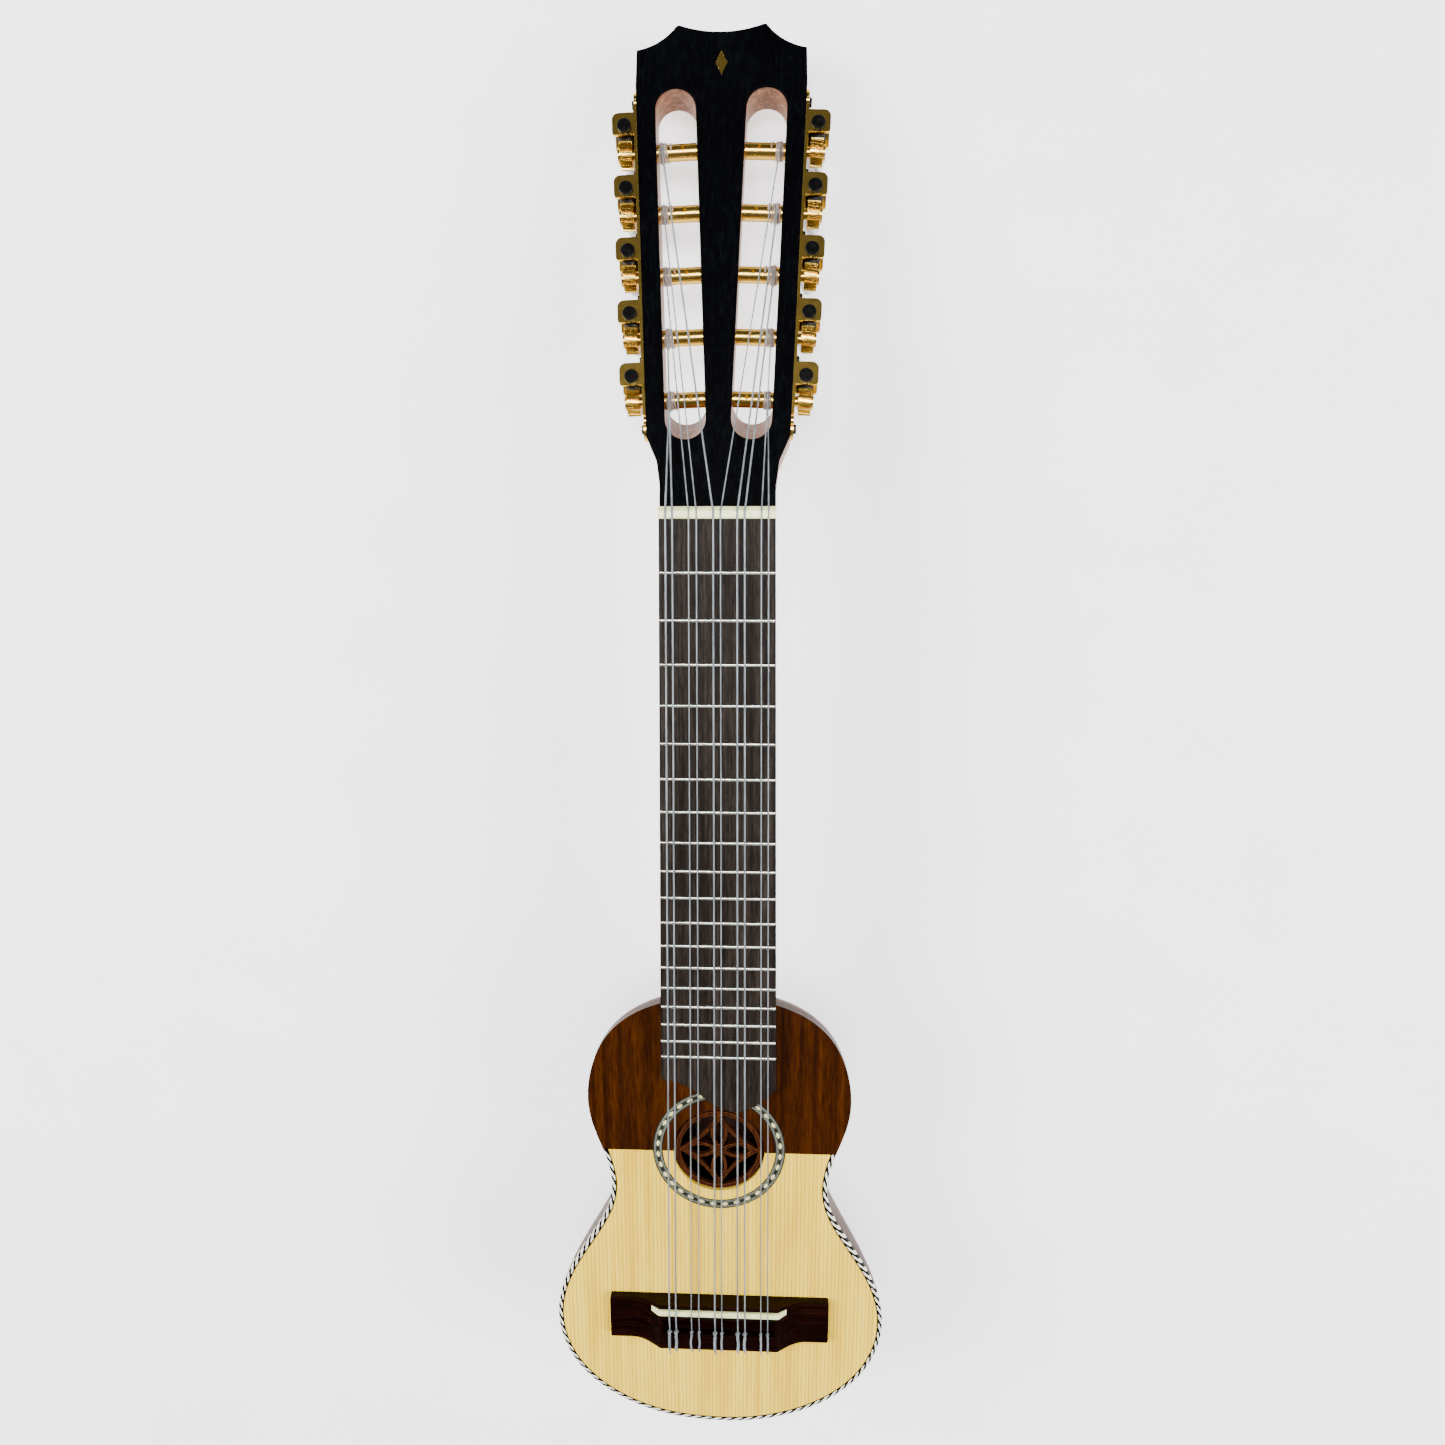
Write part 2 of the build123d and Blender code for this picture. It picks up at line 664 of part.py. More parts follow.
with BuildPart() as bridge:
    with BuildSketch(Plane.XY.offset(BODY_DEPTH)):
        with BuildLine():
            step = Spline(*WING_STEP, tangents=[(-1, 0), (-1, 0)])
            Polyline(step @ 0, (BRIDGE_HALF, WING_BACK), (BRIDGE_HALF, BRIDGE_FRONT), (0, BRIDGE_FRONT))
            Line(step @ 1, (0, TIE_BACK))
            mirror(about=Plane.YZ)
        make_face()
    extrude(amount=BLOCK_TOP - BODY_DEPTH)
    with BuildSketch(Plane.XZ.offset(-BRIDGE_FRONT)):
        with BuildLine():
            foot = (SWEEP_FOOT, WING_TOP)
            TangentArc(foot, (BLOCK_HALF + BLOCK_SPREAD, BLOCK_TOP), tangent=(-1, 0))
            Line((BLOCK_HALF + BLOCK_SPREAD, BLOCK_TOP), (0, BLOCK_TOP))
            Polyline(foot, (BRIDGE_HALF, WING_TOP), (BRIDGE_HALF, BODY_DEPTH), (0, BODY_DEPTH))
            mirror(about=Plane.YZ)
        make_face()
    extrude(amount=BRIDGE_FRONT - TIE_BACK, mode=Mode.INTERSECT)
    ends = bridge.edges().filter_by(Axis.Z).group_by(Axis.X)
    fillet([*ends[0], *ends[-1]], WING_CORNER_R)
    with BuildSketch(Plane.XY.offset(CHANNEL_FLOOR)):
        with Locations((0, sum(CHANNEL) / 2)):
            Rectangle(2 * BLOCK_HALF, CHANNEL[1] - CHANNEL[0])
    extrude(amount=BLOCK_TOP - CHANNEL_FLOOR, mode=Mode.SUBTRACT)
    with BuildSketch(Plane.XY.offset(SADDLE_BED)):
        with Locations((0, SADDLE_MID)):
            Rectangle(2 * SADDLE_HALF + 0.2, 2 * SADDLE_HALF_T + 0.1)
    extrude(amount=BLOCK_TOP - SADDLE_BED, mode=Mode.SUBTRACT)
    with BuildSketch(Plane.XZ.offset(-BRIDGE_FRONT)):
        with Locations(*[(string_x(index, TIE_Y), TIE_HOLE_Z) for index in range(10)]):
            Circle(TIE_HOLE_R)
    extrude(amount=BRIDGE_FRONT - TIE_BACK, mode=Mode.SUBTRACT)
save(bridge, "bridge")

with BuildPart() as saddle:
    with BuildSketch(Plane.XZ.offset(-SADDLE_MID)):
        with BuildLine():
            Polyline(
                (0, SADDLE_BED), (SADDLE_HALF, SADDLE_BED), (SADDLE_HALF, SADDLE_END),
                (SADDLE_FLAT, SADDLE_TOP), (0, SADDLE_TOP),
            )
            mirror(about=Plane.YZ)
        make_face()
    extrude(amount=SADDLE_HALF_T, both=True)
    fillet(saddle.edges().filter_by(Axis.X).group_by(Axis.Z)[-1], 1.1)
save(saddle, "saddle")


# ---------------------------------------------------------------- strings
def post_number(index):
    """The outer strings go to the rollers nearest the nut."""
    return index if index < 5 else 9 - index


WRAP_R = ROLLER_R + 0.85
WRAP_IN = 9.9
SADDLE_BREAK = 1.35           # the strings bend down this far behind SADDLE_Y

with BuildPart() as strings:
    for index in range(10):
        sign = -1 if index < 5 else 1
        head_end = side_point(sign, post_at(post_number(index)), -WRAP_IN, POST_DEPTH - WRAP_R)
        nut_back = Vector(STRING_X[index], NUT_FRONT + 2.6, NUT_STRING_Z)
        nut_front = Vector(STRING_X[index], NUT_Y, NUT_STRING_Z)
        over_saddle = Vector(string_x(index, SADDLE_Y), SADDLE_Y - SADDLE_BREAK, SADDLE_STRING_Z)
        tie_front = Vector(string_x(index, TIE_Y), CHANNEL[0] + 1.0, TIE_HOLE_Z)
        tie_back = Vector(string_x(index, TIE_Y), TIE_BACK - 0.8, TIE_HOLE_Z)
        route = [head_end, nut_back, nut_front, over_saddle, tie_front, tie_back]
        with BuildLine() as wire:
            Polyline(*route)
        with BuildSketch(Plane(origin=route[0], z_dir=route[1] - route[0])):
            Circle(STRING_R[index])
        sweep(path=wire.line, transition=Transition.RIGHT)
save(strings, "strings")


# ---------------------------------------------------------------- tuning machines
PLATE_ENDS = (6.5, 139.5)     # along the head side
PLATE_TAB_R = 4.6
SCALLOP_R = 2.4
EAR_CORNER_R = (1.2, 2.8)     # outer corners: nut side, tip side


def make_plate(sign):
    """Side plate with scalloped ends and two ears folded out for each worm."""
    with BuildPart() as plate:
        with BuildSketch(side_plane(sign)):
            with Locations((sum(PLATE_ENDS) / 2, 0)):
                Rectangle(PLATE_ENDS[1] - PLATE_ENDS[0], 2 * PLATE_HALF)
            with Locations(*[(at, 0) for at in SCREW_ENDS]):
                Circle(PLATE_TAB_R)
            with Locations(*[(at, side * PLATE_HALF) for at in PLATE_ENDS for side in (-1, 1)]):
                Circle(SCALLOP_R, mode=Mode.SUBTRACT)
            with Locations(*[(post_at(number), 0) for number in range(POST_COUNT)]):
                Circle(SHAFT_R + RUNNING, mode=Mode.SUBTRACT)
            with Locations(*[(at, 0) for at in SCREW_AT]):
                Circle(SCREW_R + 0.05, mode=Mode.SUBTRACT)
        extrude(amount=PLATE_T)
        for number in range(POST_COUNT):
            for top in (PLATE_HALF, PLATE_T - PLATE_HALF):
                with BuildSketch(worm_plane(sign, number, top)) as ear:
                    with Locations((sum(EAR_SPAN) / 2, -sign * (PLATE_T / 2 - WORM_OUT + EAR_REACH / 2))):
                        Rectangle(EAR_SPAN[1] - EAR_SPAN[0], EAR_REACH - PLATE_T / 2)
                    outer = ear.vertices().group_by(Axis.Y)[0 if sign > 0 else -1].sort_by(Axis.X)
                    fillet(outer[0], EAR_CORNER_R[0])
                    outer = ear.vertices().group_by(Axis.X)[-1].sort_by(Axis.Y)
                    fillet(outer[0 if sign > 0 else -1], EAR_CORNER_R[1])
                    Circle(WORM_SHAFT_R + RUNNING, mode=Mode.SUBTRACT)
                extrude(amount=-PLATE_T)
    return plate


for side, sign in SIDES:
    save(make_plate(sign), f"tuner_plate_{side}")

SCREW_HEAD_R = 2.1
SCREW_HEAD_T = 1.1
CROSS_W = 0.6                 # width and depth of the drive cross
CROSS_FLOOR = 0.6

with BuildPart() as plate_screws:
    for _, sign in SIDES:
        with BuildSketch(side_plane(sign, PLATE_T)):
            with Locations(*[(at, 0) for at in SCREW_AT]):
                Circle(SCREW_HEAD_R)
        extrude(amount=SCREW_HEAD_T, taper=18)
        with BuildSketch(side_plane(sign, PLATE_T)):
            with Locations(*[(at, 0) for at in SCREW_AT]):
                Circle(SCREW_R)
        extrude(amount=-SCREW_DEPTH - PLATE_T)
        with BuildSketch(side_plane(sign, PLATE_T + CROSS_FLOOR)):
            with Locations(*[(at, 0) for at in SCREW_AT]):
                Rectangle(2 * SCREW_HEAD_R, CROSS_W)
                Rectangle(CROSS_W, 2 * SCREW_HEAD_R)
        extrude(amount=SCREW_HEAD_T - CROSS_FLOOR, mode=Mode.SUBTRACT)
save(plate_screws, "plate_screws")

EAR_GAP = 0.25
THREAD_TURNS = 3
WORM_CAP_T = 1.3
TENON = 8.0                   # length of the worm's shaft inside the button

with BuildPart() as worm_blank:
    with BuildSketch(Plane.XY.offset(-PLATE_HALF + PLATE_T + EAR_GAP)):
        Circle(WORM_ROOT)
    extrude(amount=2 * (PLATE_HALF - PLATE_T - EAR_GAP))
    with BuildSketch(Plane.XY.offset(BUTTON_TOP - TENON)):
        Circle(WORM_SHAFT_R)
    extrude(amount=PLATE_HALF + 2 * EAR_GAP - BUTTON_TOP + TENON)
    with BuildSketch(Plane.XY.offset(PLATE_HALF + EAR_GAP)):
        Circle(WORM_CAP_R)
    extrude(amount=WORM_CAP_T)
    fillet(worm_blank.edges().group_by(Axis.Z)[-1], 0.35)
    with BuildLine() as thread_line:
        Helix(
            pitch=WORM_PITCH, height=THREAD_TURNS * WORM_PITCH, radius=WORM_ROOT,
            center=(0, 0, -THREAD_TURNS * WORM_PITCH / 2),
        )
    with BuildSketch(Plane(thread_line.line @ 0, x_dir=(1, 0, 0), z_dir=thread_line.line % 0)):
        with BuildLine():
            Polyline(
                (-0.25, -THREAD_FOOT), (WORM_R - WORM_ROOT, -THREAD_CREST),
                (WORM_R - WORM_ROOT, THREAD_CREST), (-0.25, THREAD_FOOT), close=True,
            )
        make_face()
    sweep(path=thread_line.line, is_frenet=True)

LEAD = atan2(WORM_PITCH, 2 * pi * (WORM_OFFSET - GEAR_PITCH_R))
GEAR_RIM = GEAR_R + 0.4
GEAR_CAP_R = 3.2
GEAR_CAP_T = 1.0
GEAR_CAP_SLOT = 0.7


def make_gear(sign, number):
    """Worm wheel with slanted teeth, held on the roller's end by a slotted screw."""
    base = roller_plane(sign, number, GEAR_IN)
    cap = roller_plane(sign, number, GEAR_OUT)
    middle = roller_plane(sign, number, WORM_OUT)
    along = middle.x_dir
    to_right = middle.z_dir * sign
    tangent = to_right.cross(along)
    with BuildPart() as gear:
        with BuildSketch(base):
            Circle(GEAR_R)
        extrude(amount=GEAR_OUT - GEAR_IN)
        for tooth in range(TEETH):
            turn = 2 * pi * tooth / TEETH
            radial = along * cos(turn) + tangent * sin(turn)
            around = to_right.cross(radial)
            groove_dir = to_right * cos(LEAD) + around * sin(LEAD)
            with BuildSketch(Plane(middle.origin, x_dir=radial, z_dir=groove_dir)):
                with BuildLine():
                    Polyline(
                        (GEAR_ROOT, -GROOVE_FOOT), (GEAR_RIM, -GROOVE_RIM),
                        (GEAR_RIM, GROOVE_RIM), (GEAR_ROOT, GROOVE_FOOT), close=True,
                    )
                make_face()
            extrude(amount=GEAR_OUT - GEAR_IN, both=True, mode=Mode.SUBTRACT)
        with BuildSketch(base):
            Circle(SHAFT_R + 0.01)
        extrude(amount=GEAR_OUT - GEAR_IN, mode=Mode.SUBTRACT)
        with BuildSketch(cap):
            Circle(GEAR_CAP_R)
        extrude(amount=GEAR_CAP_T)
        with BuildSketch(cap.offset(GEAR_CAP_T / 2)):
            Rectangle(2 * GEAR_CAP_R, GEAR_CAP_SLOT)
        extrude(amount=GEAR_CAP_T / 2, mode=Mode.SUBTRACT)
    return gear


def make_roller(sign, number):
    """String roller: inner pin, barrel with two string holes, and the shaft to the gear."""
    with BuildPart() as roller:
        with BuildSketch(roller_plane(sign, number, -BARREL_START)):
            Circle(ROLLER_R)
        extrude(amount=BARREL_START - BARREL_END)
        with BuildSketch(roller_plane(sign, number, -BARREL_END)):
            Circle(PIN_R)
        extrude(amount=-PIN_LENGTH)
        with BuildSketch(roller_plane(sign, number, -BARREL_START)):
            Circle(SHAFT_R)
        extrude(amount=GEAR_OUT + BARREL_START)
        with BuildSketch(face_plane(sign, POST_DEPTH)):
            with Locations(*[(post_at(number), sign * inset) for inset in STRING_HOLES]):
                Circle(STRING_HOLE_R)
        extrude(amount=2 * ROLLER_R, both=True, mode=Mode.SUBTRACT)
    return roller


with BuildPart() as button_blank:
    for drop, long_half, short_half in BUTTON_RINGS:
        with BuildSketch(Plane.XY.offset(BUTTON_TOP - drop)):
            Ellipse(long_half, short_half)
    loft()
    with BuildSketch(Plane.XY.offset(BUTTON_TOP)):
        Circle(WORM_SHAFT_R + 0.01)
    extrude(amount=-TENON - 0.1, mode=Mode.SUBTRACT)

for side, sign in SIDES:
    for number in range(POST_COUNT):
        label = f"{side}_{number + 1}"
        with BuildPart() as worm:
            add(worm_plane(sign, number).from_local_coords(worm_blank.part))
        save(worm, f"worm_{label}")
        with BuildPart() as button:
            add(worm_plane(sign, number).from_local_coords(button_blank.part))
        save(button, f"button_{label}")
        save(make_gear(sign, number), f"gear_{label}")
        save(make_roller(sign, number), f"roller_{label}")
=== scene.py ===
import json
import math
from bisect import bisect_right

import bpy
from mathutils import Euler, Matrix, Vector


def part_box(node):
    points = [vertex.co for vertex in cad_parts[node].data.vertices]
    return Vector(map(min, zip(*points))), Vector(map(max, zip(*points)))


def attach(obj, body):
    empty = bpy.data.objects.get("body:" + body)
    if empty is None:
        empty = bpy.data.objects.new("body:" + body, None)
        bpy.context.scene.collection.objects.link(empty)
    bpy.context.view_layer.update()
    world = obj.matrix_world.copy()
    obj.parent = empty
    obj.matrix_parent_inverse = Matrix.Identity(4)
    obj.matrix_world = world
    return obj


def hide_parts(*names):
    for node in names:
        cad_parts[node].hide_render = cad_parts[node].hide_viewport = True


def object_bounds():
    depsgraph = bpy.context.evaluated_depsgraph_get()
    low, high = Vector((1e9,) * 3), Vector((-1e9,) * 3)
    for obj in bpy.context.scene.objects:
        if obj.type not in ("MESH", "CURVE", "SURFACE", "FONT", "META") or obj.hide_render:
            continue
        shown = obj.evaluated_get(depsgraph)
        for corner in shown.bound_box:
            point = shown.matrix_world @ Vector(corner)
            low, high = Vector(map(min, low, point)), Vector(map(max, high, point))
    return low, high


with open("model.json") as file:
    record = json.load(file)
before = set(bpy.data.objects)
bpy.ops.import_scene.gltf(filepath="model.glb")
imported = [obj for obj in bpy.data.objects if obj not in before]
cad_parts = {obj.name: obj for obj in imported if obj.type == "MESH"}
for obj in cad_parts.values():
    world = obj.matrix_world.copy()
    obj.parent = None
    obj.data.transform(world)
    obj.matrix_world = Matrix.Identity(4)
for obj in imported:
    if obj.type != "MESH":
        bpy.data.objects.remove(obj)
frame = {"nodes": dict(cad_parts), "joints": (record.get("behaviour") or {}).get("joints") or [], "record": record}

CAD_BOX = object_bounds()
MM = 0.001
MM_PER_M = 1000.0
ROOT = "instrument"
NODES = frame["nodes"]
JOINTS = {joint["name"]: joint for joint in frame["joints"]}
SIDES = (("left", -1), ("right", 1))
POSTS = range(1, 6)
TUBE_SIDES = 9
WHITE = (1.0, 1.0, 1.0, 1.0)


# ------------------------------------------------------------------ small mesh tools
def new_piece(name, vertices, faces, materials, body=ROOT, smooth=True):
    """A mesh object in the shared frame, riding on a body unless body is None."""
    mesh = bpy.data.meshes.new(name)
    mesh.from_pydata([tuple(v) for v in vertices], [], faces)
    mesh.validate()
    mesh.update()
    for polygon in mesh.polygons:
        polygon.use_smooth = smooth
    piece = bpy.data.objects.new(name, mesh)
    bpy.context.scene.collection.objects.link(piece)
    for material in materials:
        mesh.materials.append(material)
    if body:
        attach(piece, body)
    return piece


def smooth_path(points, steps):
    """Catmull-Rom curve through points, with steps pieces for each span."""
    ends = [2 * points[0] - points[1]] + list(points) + [2 * points[-1] - points[-2]]
    path = []
    for i in range(1, len(ends) - 2):
        a, b, c, d = ends[i - 1:i + 3]
        for step in range(steps):
            t = step / steps
            path.append(0.5 * (2 * b + (c - a) * t + (2 * a - 5 * b + 4 * c - d) * t * t
                               + (3 * b - a - 3 * c + d) * t ** 3))
    path.append(points[-1].copy())
    return path


def round_ring(centre, first, second, reach, radius, steps=40):
    """Vertices and faces of a closed round ring whose plane holds the first and second directions."""
    vertices, faces = [], []
    axis = first.cross(second)
    for i in range(steps):
        turn = 2 * math.pi * i / steps
        spoke = first * math.cos(turn) + second * math.sin(turn)
        for k in range(TUBE_SIDES):
            around = 2 * math.pi * k / TUBE_SIDES
            out, up = radius * math.cos(around), radius * math.sin(around)
            vertices.append(centre + spoke * (reach + out) + axis * up)
    for i in range(steps):
        here, ahead = i * TUBE_SIDES, (i + 1) % steps * TUBE_SIDES
        for k in range(TUBE_SIDES):
            n = (k + 1) % TUBE_SIDES
            faces.append((here + k, ahead + k, ahead + n, here + n))
    return vertices, faces


def tube(path, radius):
    """Vertices and faces of a round tube along a path, closed by a cap at each end."""
    vertices, faces = [], []
    forward = (path[1] - path[0]).normalized()
    across = forward.orthogonal().normalized()
    last = len(path) - 1
    for i, point in enumerate(path):
        ahead = path[min(i + 1, last)] - path[max(i - 1, 0)]
        forward = ahead.normalized()
        across = (across - forward * across.dot(forward)).normalized()
        other = forward.cross(across)
        for k in range(TUBE_SIDES):
            turn = 2 * math.pi * k / TUBE_SIDES
            vertices.append(point + (across * math.cos(turn) + other * math.sin(turn)) * radius)
    for i in range(last):
        here, ahead = i * TUBE_SIDES, (i + 1) * TUBE_SIDES
        for k in range(TUBE_SIDES):
            n = (k + 1) % TUBE_SIDES
            faces.append((here + k, here + n, ahead + n, ahead + k))
    faces.append(tuple(reversed(range(TUBE_SIDES))))
    faces.append(tuple(range(last * TUBE_SIDES, (last + 1) * TUBE_SIDES)))
    return vertices, faces


# ------------------------------------------------------------------ shader tools
class Graph:
    """A material and its node tree, with one line for each node."""

    def __init__(self, name, **shader):
        self.material = bpy.data.materials.new(name)
        self.material.use_nodes = True
        self.tree = self.material.node_tree
        self.shader = self.tree.nodes["Principled BSDF"]
        for socket, value in shader.items():
            self.shader.inputs[socket.replace("_", " ")].default_value = value
        self.object = self.add("ShaderNodeTexCoord").outputs["Object"]

    def add(self, kind, inputs=None, **settings):
        """A node with its settings, and with sockets or plain values on its inputs."""
        node = self.tree.nodes.new(kind)
        for key, value in settings.items():
            setattr(node, key, value)
        for key, value in (inputs or {}).items():
            if isinstance(value, bpy.types.NodeSocket):
                self.tree.links.new(value, node.inputs[key])
            else:
                node.inputs[key].default_value = value
        return node

    def stretch(self, per_mm, source=None):
        """Object coordinates scaled by cycles per millimetre on each axis."""
        scale = [MM_PER_M * value for value in per_mm]
        return self.add("ShaderNodeMapping", {"Vector": source or self.object, "Scale": scale}).outputs[0]

    def noise(self, vector, detail=3.0, roughness=0.5, distortion=0.0):
        values = {"Vector": vector, "Scale": 1.0, "Detail": detail, "Roughness": roughness,
                  "Distortion": distortion}
        return self.add("ShaderNodeTexNoise", values).outputs["Fac"]

    def maths(self, operation, a, b=0.0, c=0.0):
        return self.add("ShaderNodeMath", {0: a, 1: b, 2: c}, operation=operation).outputs[0]

    def vector(self, operation, a, b, output=0):
        return self.add("ShaderNodeVectorMath", {0: a, 1: b}, operation=operation).outputs[output]

    def eased(self, radius_mm, samples):
        """The surface normal, rounded over edges."""
        return self.add("ShaderNodeBevel", {"Radius": radius_mm * MM}, samples=samples).outputs[0]

    def ramp(self, factor, stops, interpolation="LINEAR"):
        node = self.add("ShaderNodeValToRGB", {"Fac": factor})
        node.color_ramp.interpolation = interpolation
        elements = node.color_ramp.elements
        while len(elements) < len(stops):
            elements.new(0.5)
        for element, (place, colour) in zip(elements, stops):
            element.position = place
            element.color = (*colour, 1.0)
        return node.outputs["Color"]

    def grey(self, factor, low, high):
        """A clamped rescale of factor from low..high to 0..1."""
        values = {"Value": factor, "From Min": low, "From Max": high, "To Min": 0.0, "To Max": 1.0}
        return self.add("ShaderNodeMapRange", values).outputs["Result"]

    def mix(self, factor, a, b):
        """Colour a where factor is 0, and b where it is 1. Each is a socket or three numbers."""
        a, b = [value if isinstance(value, bpy.types.NodeSocket) else (*value, 1.0) for value in (a, b)]
        return self.add("ShaderNodeMix", {0: factor, 6: a, 7: b}, data_type="RGBA").outputs[2]

    def set(self, **sockets):
        for socket, value in sockets.items():
            self.tree.links.new(value, self.shader.inputs[socket.replace("_", " ")])

    def bump(self, height, distance_mm, strength=1.0, edge_mm=0.0):
        """Surface relief from height, over edges eased by edge_mm."""
        values = {"Height": height, "Strength": strength, "Distance": distance_mm * MM}
        if edge_mm:
            values["Normal"] = self.eased(edge_mm, samples=4)
        self.set(Normal=self.add("ShaderNodeBump", values).outputs[0])


def axis_scale(along, fine, slow):
    """Cycles per millimetre: slow along the grain and fine across it."""
    return [slow if axis == along else fine for axis in "XYZ"]


GRAIN_STOPS = (0.28, 0.5, 0.74)
GRAIN_WANDER = 0.004
FIBRE_SHARE = 0.22
LATE_SHARPNESS = 3.5
LATE_DEPTH = -0.75
PORE_RANGE = (0.66, 0.74)
PORE_SHADE = 0.35
PORE_ROUGHNESS = 0.12
RIM_ROUNDING_MM = 0.35
RIM_RANGE = (0.995, 0.93)


def wood(name, colours, along="Y", line=0.9, fleck=0.25, pores=0.3, rough=0.3, coat=0.0,
         relief=0.03, edge=0.25, tone=0.35, warp=0.35, shine=0.5, rings=0.0, rim=None):
    """Planed wood: growth lines, drifting tone, flecks and dark pores that all follow the grain.

    colours run from dark to light; line is growth lines per millimetre across the grain;
    rings is how many millimetres lie between the dark edges of a softwood's yearly growth;
    rim is a colour that shows along cut edges.
    """
    g = Graph(name, Coat_Weight=coat, Coat_Roughness=0.06, Specular_IOR_Level=shine)
    drift = g.noise(g.stretch(axis_scale(along, 0.05, 0.012)), detail=2.0)
    wander = g.vector("ADD", g.object, g.maths("MULTIPLY", drift, warp * GRAIN_WANDER))
    lines = g.noise(g.stretch(axis_scale(along, line, 0.006), wander), detail=4.0, roughness=0.62)
    fibre = g.noise(g.stretch(axis_scale(along, 5.0, 0.09)), detail=3.0, roughness=0.6)
    flecks = g.noise(g.stretch(axis_scale(along, 1.1, 0.11)), detail=4.0, roughness=0.6, distortion=0.4)
    body = g.maths("MULTIPLY_ADD", g.maths("SUBTRACT", drift, 0.5), tone, lines)
    body = g.maths("MULTIPLY_ADD", g.maths("SUBTRACT", flecks, 0.5), fleck, body)
    body = g.maths("MULTIPLY_ADD", g.maths("SUBTRACT", fibre, 0.5), FIBRE_SHARE, body)
    if rings:
        years = g.stretch(axis_scale(along, 1.0 / rings, 0.0), wander)
        year = g.maths("FRACT", g.add("ShaderNodeSeparateXYZ", {0: years}).outputs[0])
        late = g.maths("MULTIPLY", g.maths("POWER", year, LATE_SHARPNESS), g.grey(flecks, 0.2, 0.7))
        body = g.maths("MULTIPLY_ADD", late, LATE_DEPTH, body)
    colour = g.ramp(body, list(zip(GRAIN_STOPS, colours)))
    holes = g.noise(g.stretch(axis_scale(along, 3.2, 0.16)), detail=2.0, roughness=0.4)
    pits = g.grey(holes, *PORE_RANGE)
    dark = tuple(channel * PORE_SHADE for channel in colours[0])
    colour = g.mix(g.maths("MULTIPLY", pits, pores), colour, dark)
    if rim:
        flat = g.add("ShaderNodeNewGeometry").outputs["Normal"]
        agree = g.vector("DOT_PRODUCT", g.eased(RIM_ROUNDING_MM, samples=8), flat, output="Value")
        colour = g.mix(g.grey(agree, *RIM_RANGE), colour, rim)
    g.set(Base_Color=colour)
    wear = g.noise(g.stretch((0.06, 0.06, 0.06)), detail=3.0)
    smooth = g.maths("MULTIPLY_ADD", wear, 0.12, rough - 0.06)
    g.set(Roughness=g.maths("MULTIPLY_ADD", pits, PORE_ROUGHNESS, smooth))
    height = g.maths("SUBTRACT", g.maths("MULTIPLY", fibre, 0.5), g.maths("MULTIPLY", pits, pores))
    g.bump(height, relief, edge_mm=edge)
    return g.material


def metal(name, colour, rough=0.2, edge=0.12, brushed=(0.4, 6.0, 6.0), stain=(0.7, 0.6, 0.45),
          rim=(1.0, 1.0, 1.0)):
    """Plated or polished metal: brushed micro-scratches, uneven gloss and a little tarnish.

    brushed is scratches per millimetre on each axis; stain dulls the colour where it is tarnished;
    rim tints the reflection at the metal's edges.
    """
    g = Graph(name, Metallic=1.0, Specular_Tint=(*rim, 1.0))
    scratch = g.noise(g.stretch(brushed), detail=3.0, roughness=0.7)
    cloud = g.noise(g.stretch((0.35, 0.35, 0.35)), detail=4.0, roughness=0.6)
    tarnish = g.grey(cloud, 0.52, 0.78)
    dull = tuple(a * b for a, b in zip(colour, stain))
    g.set(Base_Color=g.mix(g.maths("MULTIPLY", tarnish, 0.6), colour, dull))
    worn = g.maths("MULTIPLY_ADD", scratch, 0.1, rough - 0.13)
    g.set(Roughness=g.maths("MULTIPLY_ADD", cloud, 0.16, worn))
    g.bump(scratch, 0.012, edge_mm=edge)
    return g.material


def enamel(name, colour, rough=0.28, edge=0.15):
    """Black oxide or lacquered metal with faint turning marks and rubbed patches."""
    g = Graph(name, Coat_Weight=0.02, Specular_IOR_Level=0.12)
    marks = g.noise(g.stretch((0.8, 0.8, 7.0)), detail=3.0)
    rub = g.grey(g.noise(g.stretch((0.5, 0.5, 0.5)), detail=4.0), 0.5, 0.8)
    worn = tuple(channel * 2.6 + 0.004 for channel in colour)
    g.set(Base_Color=g.mix(rub, colour, worn))
    g.set(Roughness=g.maths("MULTIPLY_ADD", marks, 0.14, rough - 0.07))
    g.bump(marks, 0.01, edge_mm=edge)
    return g.material


def bone(name):
    """Polished bone: cream, with faint lengthwise fibres and tiny dark canals."""
    g = Graph(name, Subsurface_Weight=0.15, Subsurface_Scale=0.001, Coat_Weight=0.15)
    fibre = g.noise(g.stretch((0.25, 3.0, 3.0)), detail=4.0)
    cloud = g.noise(g.stretch((0.15, 0.3, 0.3)), detail=3.0)
    colour = g.ramp(g.maths("MULTIPLY_ADD", fibre, 0.35, g.maths("MULTIPLY", cloud, 0.65)),
                    ((0.3, (0.60, 0.60, 0.27)), (0.5, (0.76, 0.79, 0.39)), (0.72, (0.87, 0.90, 0.50))))
    canals = g.grey(g.noise(g.stretch((0.8, 6.0, 6.0)), detail=2.0), 0.7, 0.76)
    g.set(Base_Color=g.mix(g.maths("MULTIPLY", canals, 0.4), colour, (0.5, 0.4, 0.24)))
    g.set(Roughness=g.maths("MULTIPLY_ADD", cloud, 0.15, 0.2))
    g.bump(fibre, 0.01, edge_mm=0.3)
    return g.material


